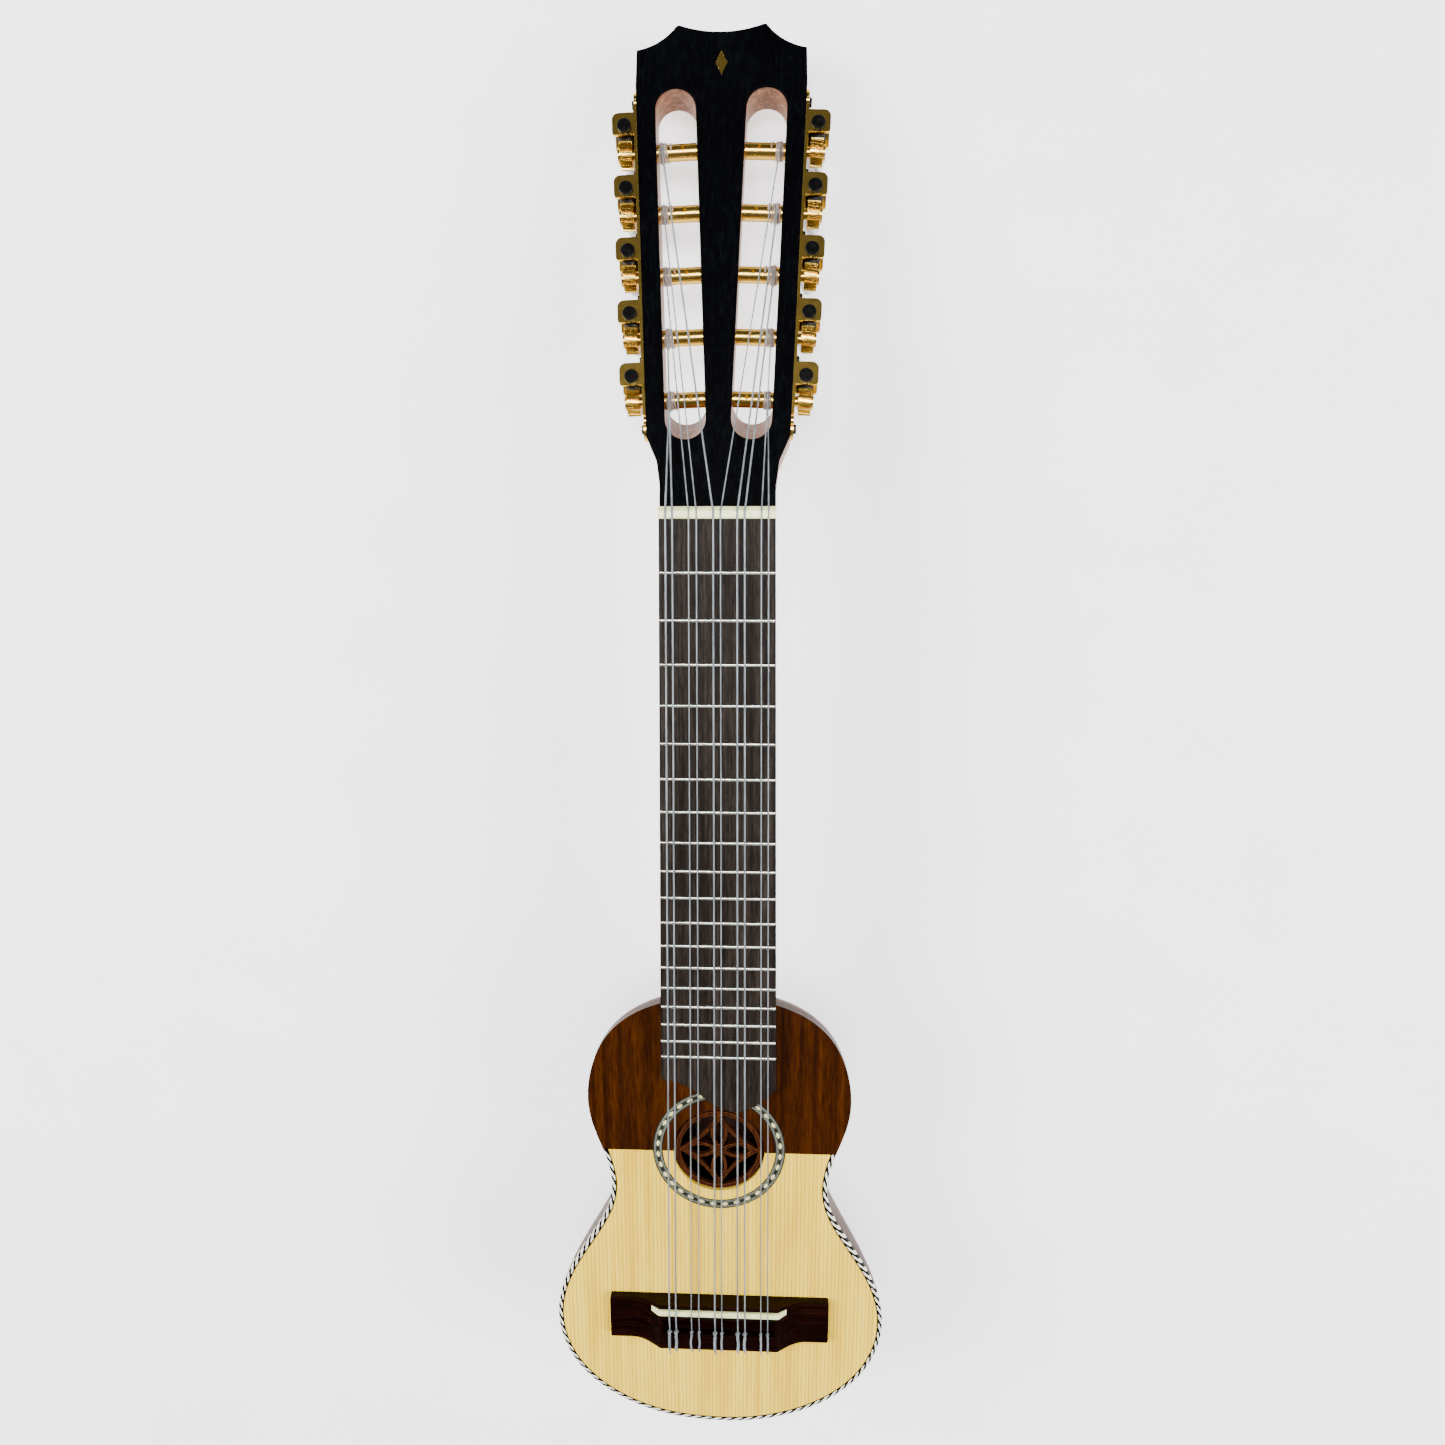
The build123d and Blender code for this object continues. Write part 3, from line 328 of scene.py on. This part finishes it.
def pearloid(name):
    """Moulded pearl plastic: swirled silvery flakes under a clear gloss."""
    g = Graph(name, Coat_Weight=1.0, Coat_Roughness=0.04, Transmission_Weight=0.12, IOR=1.49)
    flow = g.noise(g.stretch((0.16, 0.16, 0.16)), detail=2.0, distortion=2.2)
    shift = g.vector("ADD", g.stretch((0.3, 0.3, 0.3)), flow)
    flakes = g.add("ShaderNodeTexVoronoi", {"Vector": shift, "Scale": 1.6, "Randomness": 1.0},
                   feature="F1").outputs["Color"]
    tone = g.add("ShaderNodeSeparateColor", {"Color": flakes}).outputs[0]
    colour = g.ramp(g.maths("MULTIPLY_ADD", flow, 0.6, g.maths("MULTIPLY", tone, 0.4)),
                    ((0.2, (0.24, 0.25, 0.26)), (0.45, (0.50, 0.51, 0.51)), (0.7, (0.86, 0.86, 0.84))))
    g.set(Base_Color=colour)
    g.set(Roughness=g.maths("MULTIPLY_ADD", tone, 0.25, 0.08))
    g.bump(flow, 0.05, edge_mm=0.2)
    return g.material


def nylon(name, colours, clear=0.5):
    """Clear drawn nylon, slightly cloudy, with faint drawing lines along the string."""
    g = Graph(name, Transmission_Weight=clear, IOR=1.5, Coat_Weight=0.1)
    cloud = g.noise(g.stretch((0.8, 0.05, 0.8)), detail=3.0)
    g.set(Base_Color=g.ramp(cloud, ((0.35, colours[0]), (0.65, colours[1]))))
    g.set(Roughness=g.maths("MULTIPLY_ADD", cloud, 0.18, 0.12))
    g.bump(g.noise(g.stretch((6.0, 0.2, 6.0)), detail=2.0), 0.006)
    return g.material


def inlay(name, colours):
    """Thin dyed veneer, with fine fibres."""
    g = Graph(name, Roughness=0.4, Specular_IOR_Level=0.03)
    fibre = g.noise(g.stretch((2.5, 2.5, 2.5)), detail=4.0, roughness=0.7)
    g.set(Base_Color=g.ramp(fibre, ((0.35, colours[0]), (0.65, colours[1]))))
    g.bump(fibre, 0.008)
    return g.material


ROSETTE_BANDS = 32
ROSETTE_W = 4.6 * MM
ROSETTE_BLACK = (0.004, 0.005, 0.004)
ROSETTE_WHITE = (0.26, 0.27, 0.21)
ROSETTE_GREEN = (0.016, 0.020, 0.016)
ROSETTE_FIELD = (0.045, 0.052, 0.040)
ROSETTE_BAND = 0.36
ROSETTE_LOZENGE = 0.62        # where a lozenge ends, with the slopes round and across
ROSETTE_SLOPES = (1.95, 1.5)
ROSETTE_DASH = 0.27
ROSETTE_DASH_EDGE = 0.22


def rosette(name):
    """Ring inlay: thin dyed lines round a band of cream lozenges joined by black dashes."""
    low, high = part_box("rosette_ring")
    outer = (high.x - low.x) / 2
    centre_y = low.y + outer
    g = Graph(name, Coat_Weight=0.1, Roughness=0.35, Specular_IOR_Level=0.25)
    parts = g.add("ShaderNodeSeparateXYZ", {0: g.vector("SUBTRACT", g.object, (0.0, centre_y, 0.0))})
    x, y = parts.outputs[0], parts.outputs[1]
    radius = g.maths("SQRT", g.maths("ADD", g.maths("MULTIPLY", x, x), g.maths("MULTIPLY", y, y)))
    across = g.grey(radius, outer - ROSETTE_W, outer)
    turn = g.maths("MULTIPLY", g.maths("ARCTAN2", y, x), ROSETTE_BANDS / (2 * math.pi))
    around = g.maths("ABSOLUTE", g.maths("SUBTRACT", g.maths("FRACT", turn), 0.5))
    off_middle = g.maths("MULTIPLY", g.maths("ABSOLUTE", g.maths("SUBTRACT", across, 0.5)), 2.0)
    lines = g.ramp(off_middle, (
        (0.0, ROSETTE_GREEN), (ROSETTE_BAND, ROSETTE_BLACK), (0.46, ROSETTE_WHITE), (0.54, ROSETTE_BLACK),
        (0.66, ROSETTE_WHITE), (0.73, ROSETTE_GREEN), (0.88, ROSETTE_BLACK),
    ), "CONSTANT")
    reach = g.maths("ADD", *[g.maths("MULTIPLY", way, slope)
                             for way, slope in zip((around, off_middle), ROSETTE_SLOPES)])
    lozenge = g.maths("LESS_THAN", reach, ROSETTE_LOZENGE)
    dash = g.maths("MULTIPLY", g.maths("GREATER_THAN", around, ROSETTE_DASH),
                   g.maths("LESS_THAN", off_middle, ROSETTE_DASH_EDGE))
    band = g.maths("LESS_THAN", off_middle, ROSETTE_BAND)
    fibre = g.noise(g.stretch((3.0, 3.0, 3.0)), detail=4.0)
    cream = g.ramp(fibre, ((0.35, (0.60, 0.52, 0.22)), (0.65, (0.76, 0.70, 0.36))))
    middle = g.mix(lozenge, ROSETTE_FIELD, cream)
    middle = g.mix(dash, middle, ROSETTE_BLACK)
    g.set(Base_Color=g.mix(band, lines, middle))
    g.bump(fibre, 0.008)
    return g.material


def floor_finish(name):
    """Matt studio board, nearly white, with a barely visible texture."""
    g = Graph(name, Emission_Color=WHITE, Emission_Strength=1.2, Specular_IOR_Level=0.1)
    grain = g.noise(g.stretch((0.02, 0.02, 0.02)), detail=4.0)
    g.set(Base_Color=g.ramp(grain, ((0.3, (0.88, 0.88, 0.88)), (0.7, (0.92, 0.92, 0.92)))))
    g.set(Roughness=g.maths("MULTIPLY_ADD", grain, 0.1, 0.75))
    return g.material


BLACK_INLAY = inlay("inlay_black", ((0.002, 0.002, 0.0015), (0.006, 0.005, 0.0045)))
CREAM_INLAY = inlay("inlay_cream", ((0.72, 0.68, 0.54), (0.88, 0.86, 0.74)))
WOUND_NYLON = nylon("wound_nylon", ((0.50, 0.40, 0.34), (0.74, 0.63, 0.56)), clear=0.6)
FINISHES = {
    "bowl_wood": wood("bowl_wood", ((0.034, 0.0135, 0.009), (0.066, 0.030, 0.022), (0.11, 0.056, 0.043)),
                      rough=0.42, line=0.5, fleck=0.5, pores=0.5, shine=0.05),
    "spruce": wood("spruce", ((0.64, 0.38, 0.016), (0.86, 0.58, 0.046), (0.92, 0.67, 0.080)),
                   line=0.16, fleck=0.10, pores=0.0, rough=0.36, coat=0.03, tone=0.3, warp=0.5, shine=0.12,
                   rings=1.9),
    "dark_top": wood("dark_top", ((0.012, 0.0024, 0.0002), (0.026, 0.0058, 0.0003), (0.050, 0.0125, 0.0006)),
                     line=0.35, fleck=0.9, pores=0.6, rough=0.3, coat=0.03, tone=0.35, shine=0.15),
    "brace_spruce": wood("brace_spruce", ((0.52, 0.34, 0.15), (0.70, 0.52, 0.28), (0.80, 0.66, 0.42)),
                         line=0.8, pores=0.0, rough=0.6, rings=1.8),
    "grille_wood": wood("grille_wood", ((0.008, 0.002, 0.0008), (0.024, 0.006, 0.0022),
                                        (0.060, 0.017, 0.005)),
                        line=0.8, fleck=0.5, pores=0.5, rough=0.4, edge=0.3, shine=0.05,
                        rim=(0.15, 0.046, 0.012)),
    "neck_cedar": wood("neck_cedar", ((0.11, 0.034, 0.010), (0.21, 0.076, 0.026), (0.34, 0.150, 0.066)),
                       line=0.45, fleck=0.4, pores=0.5, rough=0.45, coat=0.05, edge=0.5, shine=0.3),
    "head_black": wood("head_black", ((0.0004, 0.0004, 0.0006), (0.0008, 0.0009, 0.0014),
                                      (0.0024, 0.0028, 0.0038)),
                       line=0.8, fleck=0.3, pores=0.3, rough=0.42, edge=0.3, relief=0.04, shine=0.02),
    "fingerboard_wood": wood("fingerboard_wood", ((0.0050, 0.0030, 0.0022), (0.0125, 0.0088, 0.0066),
                                                  (0.029, 0.0215, 0.0165)),
                             line=0.8, fleck=0.9, pores=0.9, rough=0.5, edge=0.3, relief=0.05, shine=0.1),
    "bridge_rosewood": wood("bridge_rosewood", ((0.0016, 0.0002, 0.0001), (0.0042, 0.0006, 0.0003),
                                                (0.014, 0.0030, 0.0016)),
                            along="X", line=0.6, fleck=0.6, pores=0.7, rough=0.28, coat=0.02, edge=0.4,
                            shine=0.05),
    "rope_inlay": CREAM_INLAY,
    "rosette_inlay": rosette("rosette_inlay"),
    "fret_metal": metal("fret_metal", (0.54, 0.54, 0.50), rough=0.2, stain=(0.9, 0.88, 0.82)),
    "bone": bone("bone"),
    "tuner_gold": metal("tuner_gold", (0.74, 0.50, 0.11), rough=0.22, rim=(0.62, 0.42, 0.14)),
    "roller_gold": metal("roller_gold", (0.62, 0.41, 0.09), rough=0.24, brushed=(6.0, 0.5, 0.5),
                         rim=(0.28, 0.17, 0.04)),
    "black_screw": enamel("black_screw", (0.0012, 0.0012, 0.0012)),
    "worm_black": enamel("worm_black", (0.0012, 0.0012, 0.0012), rough=0.34),
    "pearl": pearloid("pearl"),
    "nylon": nylon("nylon", ((0.22, 0.25, 0.27), (0.40, 0.44, 0.47))),
}

for entry in frame["record"]["subparts"]:
    shown = NODES[entry["node"]]
    shown.data.materials.clear()
    shown.data.materials.append(FINISHES[entry["material_slot"]])


# ------------------------------------------------------------------ rope binding and edge line
SAME_PLACE = 1e-6


def top_loop(node):
    """The boundary of a node's upper face as one ordered loop of points, and its height."""
    mesh = NODES[node].data
    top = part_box(node)[1].z
    on_top = [p for p in mesh.polygons
              if all(abs(mesh.vertices[v].co.z - top) < SAME_PLACE for v in p.vertices)]
    key = {}
    for p in on_top:
        for v in p.vertices:
            co = mesh.vertices[v].co
            key[v] = (round(co.x, 6), round(co.y, 6))
    seen = {}
    for p in on_top:
        corners = [key[v] for v in p.vertices]
        for side_ends in zip(corners, corners[1:] + corners[:1]):
            side = frozenset(side_ends)
            seen[side] = seen.get(side, 0) + 1
    nearby = {}
    for edge, count in seen.items():
        if count == 1 and len(edge) == 2:
            a, b = edge
            nearby.setdefault(a, []).append(b)
            nearby.setdefault(b, []).append(a)
    start = max(nearby, key=lambda point: (round(point[1], 5), -point[0]))
    loop, came = [start], None
    while True:
        onward = [p for p in nearby[loop[-1]] if p != came]
        came = loop[-1]
        if not onward or onward[0] == start:
            break
        loop.append(onward[0])
    return loop, top


class Arc:
    """A chain of points, read by distance along it."""

    def __init__(self, chain):
        self.chain = [Vector(p) for p in chain]
        self.at = [0.0]
        for a, b in zip(self.chain, self.chain[1:]):
            self.at.append(self.at[-1] + (b - a).length)
        self.length = self.at[-1]

    def point(self, distance):
        """The place and the direction at a distance, held to the chain's ends."""
        d = min(max(distance, 0.0), self.length)
        i = min(bisect_right(self.at, d), len(self.at) - 1) - 1
        a, b = self.chain[i], self.chain[i + 1]
        share = (d - self.at[i]) / max((b - a).length, 1e-9)
        return a.lerp(b, share), (b - a).normalized()


ROPE_PERIOD = 5.2 * MM
ROPE_CELLS = 16
ROPE_W = 1.85 * MM
ROPE_SLANT = 3.6 * MM
ROPE_SWELL = 0.07 * MM
ROPE_INSET = 0.005 * MM       # keeps the rope inside the CAD box
ROPE_DROPS = ((-2.6 * MM, -0.5), (-1.3 * MM, -0.25), (-0.15 * MM, 0.0))   # down the side, with slant
ROPE_STEPS = 6                # rows over the top
LINE_W = 0.40 * MM
LINE_LAP = 0.02 * MM          # of the line under the rope
LINE_DEPTH = 3.0 * MM
LINE_BED = 0.4 * MM           # of the black bed below the rope
LINE_EDGE = 0.05 * MM


def outer_edge(node):
    """The long way round a node's upper face between its two far corners, and its height."""
    loop, top = top_loop(node)
    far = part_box(node)[1].y
    ends = sorted((i for i, p in enumerate(loop) if abs(p[1] - far) < 1e-5), key=lambda i: loop[i][0])
    turned = loop[ends[0]:] + loop[:ends[0]]
    split = turned.index(loop[ends[-1]])
    ways = (turned[:split + 1], [turned[0]] + list(reversed(turned[split:])))
    return max((Arc(way) for way in ways), key=lambda arc: arc.length), top


def beside(arc, distance, inset, z):
    """A point at a distance along the edge, moved in from it."""
    centre, along = arc.point(distance)
    place = centre + Vector((-along.y, along.x)) * inset
    return Vector((place.x, place.y, z))


def rope_strands(arc, top):
    """Twisted black and cream strands that lie over the edge of the pale soundboard."""
    count = int(arc.length / ROPE_PERIOD * ROPE_CELLS)
    step = arc.length / count
    rows = [(0.0, drop, share) for drop, share in ROPE_DROPS]
    rows += [(ROPE_W * k / ROPE_STEPS, 0.0, k / ROPE_STEPS) for k in range(1, ROPE_STEPS + 1)]
    strand = ROPE_CELLS // 2
    vertices, faces, tints = [], [], []
    for i in range(count + 1):
        swell = ROPE_SWELL * math.sin(math.pi * (i % strand / strand))
        for inset, drop, share in rows:
            eased = share if share <= 0 else share * share * (3 - 2 * share)
            lift = swell * math.sin(math.pi * share) if share > 0 else 0.0
            vertices.append(beside(arc, i * step + eased * ROPE_SLANT - ROPE_SLANT / 2, inset + ROPE_INSET,
                                   top + drop + lift - ROPE_SWELL))
    wide = len(rows)
    for i in range(count):
        for k in range(wide - 1):
            a = i * wide + k
            faces.append((a, a + wide, a + wide + 1, a + 1))
            tints.append(0 if i % ROPE_CELLS < strand else 1)
    rope = new_piece("rope_strands", vertices, faces, [BLACK_INLAY, CREAM_INLAY])
    for polygon, tint in zip(rope.data.polygons, tints):
        polygon.material_index = tint
    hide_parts("rope_binding")
    return count


def rope_line(arc, top, samples):
    """Thin black line inside the rope, with the black bed that the rope lies on."""
    inner, outer = ROPE_W - LINE_LAP, ROPE_W + LINE_W
    section = ((inner, LINE_BED), (inner, 0.0), (outer, 0.0), (outer, LINE_DEPTH),
               (LINE_EDGE, LINE_DEPTH), (LINE_EDGE, LINE_BED))
    wide = len(section)
    vertices, faces = [], []
    for i in range(samples + 1):
        for inset, depth in section:
            vertices.append(beside(arc, arc.length * i / samples, inset, top - depth))
    for i in range(samples):
        for k in range(wide):
            a, b = i * wide + k, i * wide + (k + 1) % wide
            faces.append((a, a + wide, b + wide, b))
    faces.append(tuple(range(wide)))
    faces.append(tuple(samples * wide + k for k in reversed(range(wide))))
    line = new_piece("rope_line", vertices, faces, [BLACK_INLAY], smooth=False)


rope_edge, rope_top = outer_edge("rope_binding")
rope_cells = rope_strands(rope_edge, rope_top)
rope_line(rope_edge, rope_top, rope_cells // 2)


# ------------------------------------------------------------------ string windings and ties
STRING_R = [mm * MM for mm in (0.37, 0.37, 0.27, 0.27, 0.37, 0.27, 0.37, 0.37, 0.27, 0.27)]
ROLLER_R = 3.25 * MM
COIL_START = 8.6 * MM         # insets from the head side
COIL_END = 11.6 * MM
STRING_IN = 9.9 * MM
HOLE_PAST_COIL = 2.0 * MM
HOLE_DEPTHS = (0.5 * MM, 1.8 * MM)
LAST_TURN_RISE = 0.45 * MM    # above the turns below it
TURN_PITCH = 2.05             # in string radii
TURN_STEPS = 28
TAIL_STEPS = 12
TAIL_BEND = 0.975             # share of the tail where it bends into the hole
TAIL_LEAST_TURN = 0.25


def winding(side, sign, number):
    """One string's turns round its roller, up to where the straight string arrives, and its tail."""
    joint = JOINTS[f"post_turn_{side}_{number}"]
    origin = Vector(joint["pos_m"])
    outward = Vector(joint["axis"]) * sign
    face_out = Vector(JOINTS[f"tuner_turn_{side}_{number}"]["axis"])
    tipward = face_out.cross(outward) * -sign
    thick = STRING_R[number - 1 if sign < 0 else 10 - number]
    reach = ROLLER_R + thick

    def place(angle, inset):
        around = face_out * math.cos(angle) + tipward * math.sin(angle)
        return origin - outward * inset + around * reach

    turns = (COIL_END - COIL_START) / (TURN_PITCH * thick)
    steps = int(turns * TURN_STEPS)
    coil_angle = 2 * math.pi * turns
    path = []
    for i in range(steps + 1):
        share = i / steps
        path.append(place(coil_angle * share, COIL_START + (COIL_END - COIL_START) * share))
    vertices, faces = tube(path, thick)
    more, sheets = round_ring(origin - outward * STRING_IN, face_out, tipward, reach + LAST_TURN_RISE, thick)
    faces += [tuple(corner + len(vertices) for corner in sheet) for sheet in sheets]
    vertices += more
    body = f"post_{side}_{number}"
    coil = new_piece(f"winding_{side}_{number}", vertices, faces, [WOUND_NYLON], body=body)

    hole_angle = 2 * math.pi * math.ceil(turns + TAIL_LEAST_TURN)
    tail = [path[-1]]
    for share in [k / TAIL_STEPS for k in range(1, TAIL_STEPS)] + [TAIL_BEND]:
        tail.append(place(coil_angle + (hole_angle - coil_angle) * share, COIL_END + HOLE_PAST_COIL * share))
    hole = origin - outward * (COIL_END + HOLE_PAST_COIL)
    tail += [hole + face_out * (ROLLER_R - depth) for depth in HOLE_DEPTHS]
    vertices, faces = tube(smooth_path(tail, 6), thick)
    end = new_piece(f"winding_tail_{side}_{number}", vertices, faces, [WOUND_NYLON], body=body)


for side, sign in SIDES:
    for number in POSTS:
        winding(side, sign, number)


END_DEPTH = 0.2 * MM
END_GAP = 0.6 * MM


def tie_places():
    """The x of each string at the tie block, from the tail ends of the CAD strings."""
    mesh = NODES["strings"].data
    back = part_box("strings")[0].y
    ends = sorted(v.co.x for v in mesh.vertices if v.co.y < back + END_DEPTH)
    groups = [[ends[0]]]
    for x in ends[1:]:
        if x - groups[-1][-1] < END_GAP:
            groups[-1].append(x)
        else:
            groups.append([x])
    return [(group[0] + group[-1]) / 2 for group in groups]


BLOCK_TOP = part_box("bridge")[1].z
TIE_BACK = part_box("bridge")[0].y
TIE_FRONT = TIE_BACK + 8.2 * MM
TIE_HOLE = BLOCK_TOP - 1.4 * MM
TWIST_START = TIE_BACK + 0.8 * MM
TWIST_END = TIE_FRONT - 0.6 * MM
TWIST_STEPS = 30
TWIST_REACH = 1.05            # in string radii
KNOT_REACH = 2.3              # in string radii
KNOT_STEPS = 8
LOOP_THIN = 0.95


def tie(index, x):
    """The knot of one string: out of the hole, back over the tie block and twisted on itself."""
    thick = STRING_R[index]
    lie = BLOCK_TOP + thick + 0.05 * MM
    swing = thick * TWIST_REACH
    twists = 3.0 + 0.5 * ((index * 7) % 3)
    bow = 0.35 * MM * math.sin(index * 2.4)

    def twist(phase):
        points = []
        for i in range(TWIST_STEPS + 1):
            share = i / TWIST_STEPS
            angle = 2 * math.pi * twists * share + phase
            y = TWIST_START + (TWIST_END - TWIST_START) * share
            side_step = swing * math.cos(angle) + bow * math.sin(math.pi * share)
            points.append(Vector((x + side_step, y, lie + swing * (1 + math.sin(angle)) * 0.5)))
        return points

    strand = [Vector((x, TIE_BACK - 0.6 * MM, TIE_HOLE)),
              Vector((x, TIE_BACK - 1.2 * MM, TIE_HOLE + 0.6 * MM)),
              Vector((x, TIE_BACK - 0.5 * MM, lie))]
    strand += twist(0.0)
    strand += [Vector((x + 0.2 * MM, TIE_FRONT + 0.3 * MM, lie - 0.1 * MM)),
               Vector((x, TIE_FRONT + 0.9 * MM, TIE_HOLE + 0.9 * MM))]

    tail = 0.9 * MM + 1.3 * MM * ((index * 5) % 4 == 0)
    loop = [Vector((x + 0.5 * MM, TIE_BACK - tail, lie + 0.1 * MM))]
    loop += twist(math.pi)
    knot = Vector((x, TIE_FRONT + 1.0 * MM, TIE_HOLE + 0.2 * MM))
    reach = thick * KNOT_REACH
    for k in range(KNOT_STEPS + 1):
        angle = math.pi * (0.5 - 2 * k / KNOT_STEPS)
        loop.append(knot + Vector((reach * math.cos(angle), -0.12 * MM * k,
                                   reach * math.sin(angle) + 0.2 * MM)))

    for name, points, radius in (("tie", strand, thick), ("tie_loop", loop, thick * LOOP_THIN)):
        vertices, faces = tube(smooth_path(points, 3), radius)
        piece = new_piece(f"{name}_{index + 1}", vertices, faces, [FINISHES["nylon"]])


for index, x in enumerate(tie_places()):
    tie(index, x)


# ------------------------------------------------------------------ plain lozenge on the head
HEAD_OUT = Vector(JOINTS["tuner_turn_left_1"]["axis"])
HEAD_UP = Vector((0.0, HEAD_OUT.z, -HEAD_OUT.y))
INLAY_W, INLAY_L = 2.4 * MM, 5.0 * MM     # half the width and half the length
INLAY_T = 0.3 * MM
INLAY_PROUD = 0.03 * MM
INLAY_FROM_TIP = 16.0 * MM


def ornament():
    """A small plain lozenge inlaid near the tip of the head."""
    verts = NODES["head_veneer"].data.vertices
    height = max(v.co.dot(HEAD_OUT) for v in verts)
    reach = max(v.co.dot(HEAD_UP) for v in verts)
    centre = HEAD_OUT * (height + INLAY_PROUD) + HEAD_UP * (reach - INLAY_FROM_TIP)
    outline = []
    for k in range(4):
        angle = math.pi / 2 * k
        outline.append(Vector((INLAY_W * math.sin(angle), 0, 0)) + HEAD_UP * (INLAY_L * math.cos(angle)))
    vertices = [centre + p for p in outline] + [centre + p - HEAD_OUT * INLAY_T for p in outline]
    faces = [(0, 3, 2, 1), (4, 5, 6, 7)] + [(k, (k + 1) % 4, (k + 1) % 4 + 4, k + 4) for k in range(4)]
    piece = new_piece("head_lozenge", vertices, faces, [FINISHES["tuner_gold"]], smooth=False)


ornament()


# ------------------------------------------------------------------ stage, light and camera
FLOOR_HALF = 4.0
FLOOR_GAP = 0.0002
SKY_STRENGTH = 0.11
LIGHT_TARGET = Vector((0.0, 0.22, 0.05))
LIGHTS = (                    # name, place, size, power in watts
    ("key_left", (-1.35, 0.55, 1.15), 0.9, 62.0),
    ("key_right", (1.35, 0.10, 1.05), 0.9, 48.0),
    ("overhead", (0.0, 0.55, 1.70), 0.5, 22.0),
    ("low_tail", (0.1, -1.45, 0.42), 0.6, 2.5),
)


def area_light(name, place, size, power):
    """A square soft box aimed at the instrument."""
    data = bpy.data.lights.new(name, "AREA")
    data.shape = "SQUARE"
    data.size = size
    data.energy = power
    lamp = bpy.data.objects.new(name, data)
    lamp.location = place
    lamp.rotation_euler = (LIGHT_TARGET - Vector(place)).to_track_quat("-Z", "Y").to_euler()
    bpy.context.scene.collection.objects.link(lamp)


def stage():
    """A large pale floor just under the instrument."""
    low = CAD_BOX[0].z - FLOOR_GAP
    corners = [(x * FLOOR_HALF, y * FLOOR_HALF, low) for x, y in ((-1, -1), (1, -1), (1, 1), (-1, 1))]
    floor = new_piece("floor", corners, [(0, 1, 2, 3)], [floor_finish("floor_finish")],
                      body=None, smooth=False)


def studio():
    """Dim white surroundings and four soft boxes."""
    world = bpy.data.worlds.new("studio")
    bpy.context.scene.world = world
    world.use_nodes = True
    background = world.node_tree.nodes["Background"]
    background.inputs["Color"].default_value = WHITE
    background.inputs["Strength"].default_value = SKY_STRENGTH
    for light in LIGHTS:
        area_light(*light)


FRET_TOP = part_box("frets")[1].z
NUT_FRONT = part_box("nut")[0].y
SENSOR_W = 36.0
FOCAL_SHARE = 1000.0 / 1445.0     # focal length as a share of the picture's width
CAMERA_TURN = (11.99, 2.44, 0.44)
CAMERA_RIGHT = 20.1 * MM
CAMERA_PAST_NUT = 3.3 * MM
CAMERA_HEIGHT = 412.0 * MM        # above the frets


def camera():
    """A camera above the nut, turned a little so that the whole instrument fills the frame."""
    data = bpy.data.cameras.new("camera")
    data.sensor_width = SENSOR_W
    data.lens = SENSOR_W * FOCAL_SHARE
    data.clip_start = 0.01
    data.clip_end = 20.0
    data.dof.use_dof = False
    eye = bpy.data.objects.new("camera", data)
    bpy.context.scene.collection.objects.link(eye)
    rows = Euler([math.radians(angle) for angle in CAMERA_TURN], "XYZ").to_matrix()
    right, down, forward = [Vector((row.x, -row.y, -row.z)) for row in rows]
    turn = Matrix((right, -down, -forward)).transposed()
    place = Vector((CAMERA_RIGHT, NUT_FRONT + CAMERA_PAST_NUT, FRET_TOP + CAMERA_HEIGHT))
    eye.matrix_world = Matrix.Translation(place) @ turn.to_4x4()
    bpy.context.scene.camera = eye


stage()
studio()
camera()
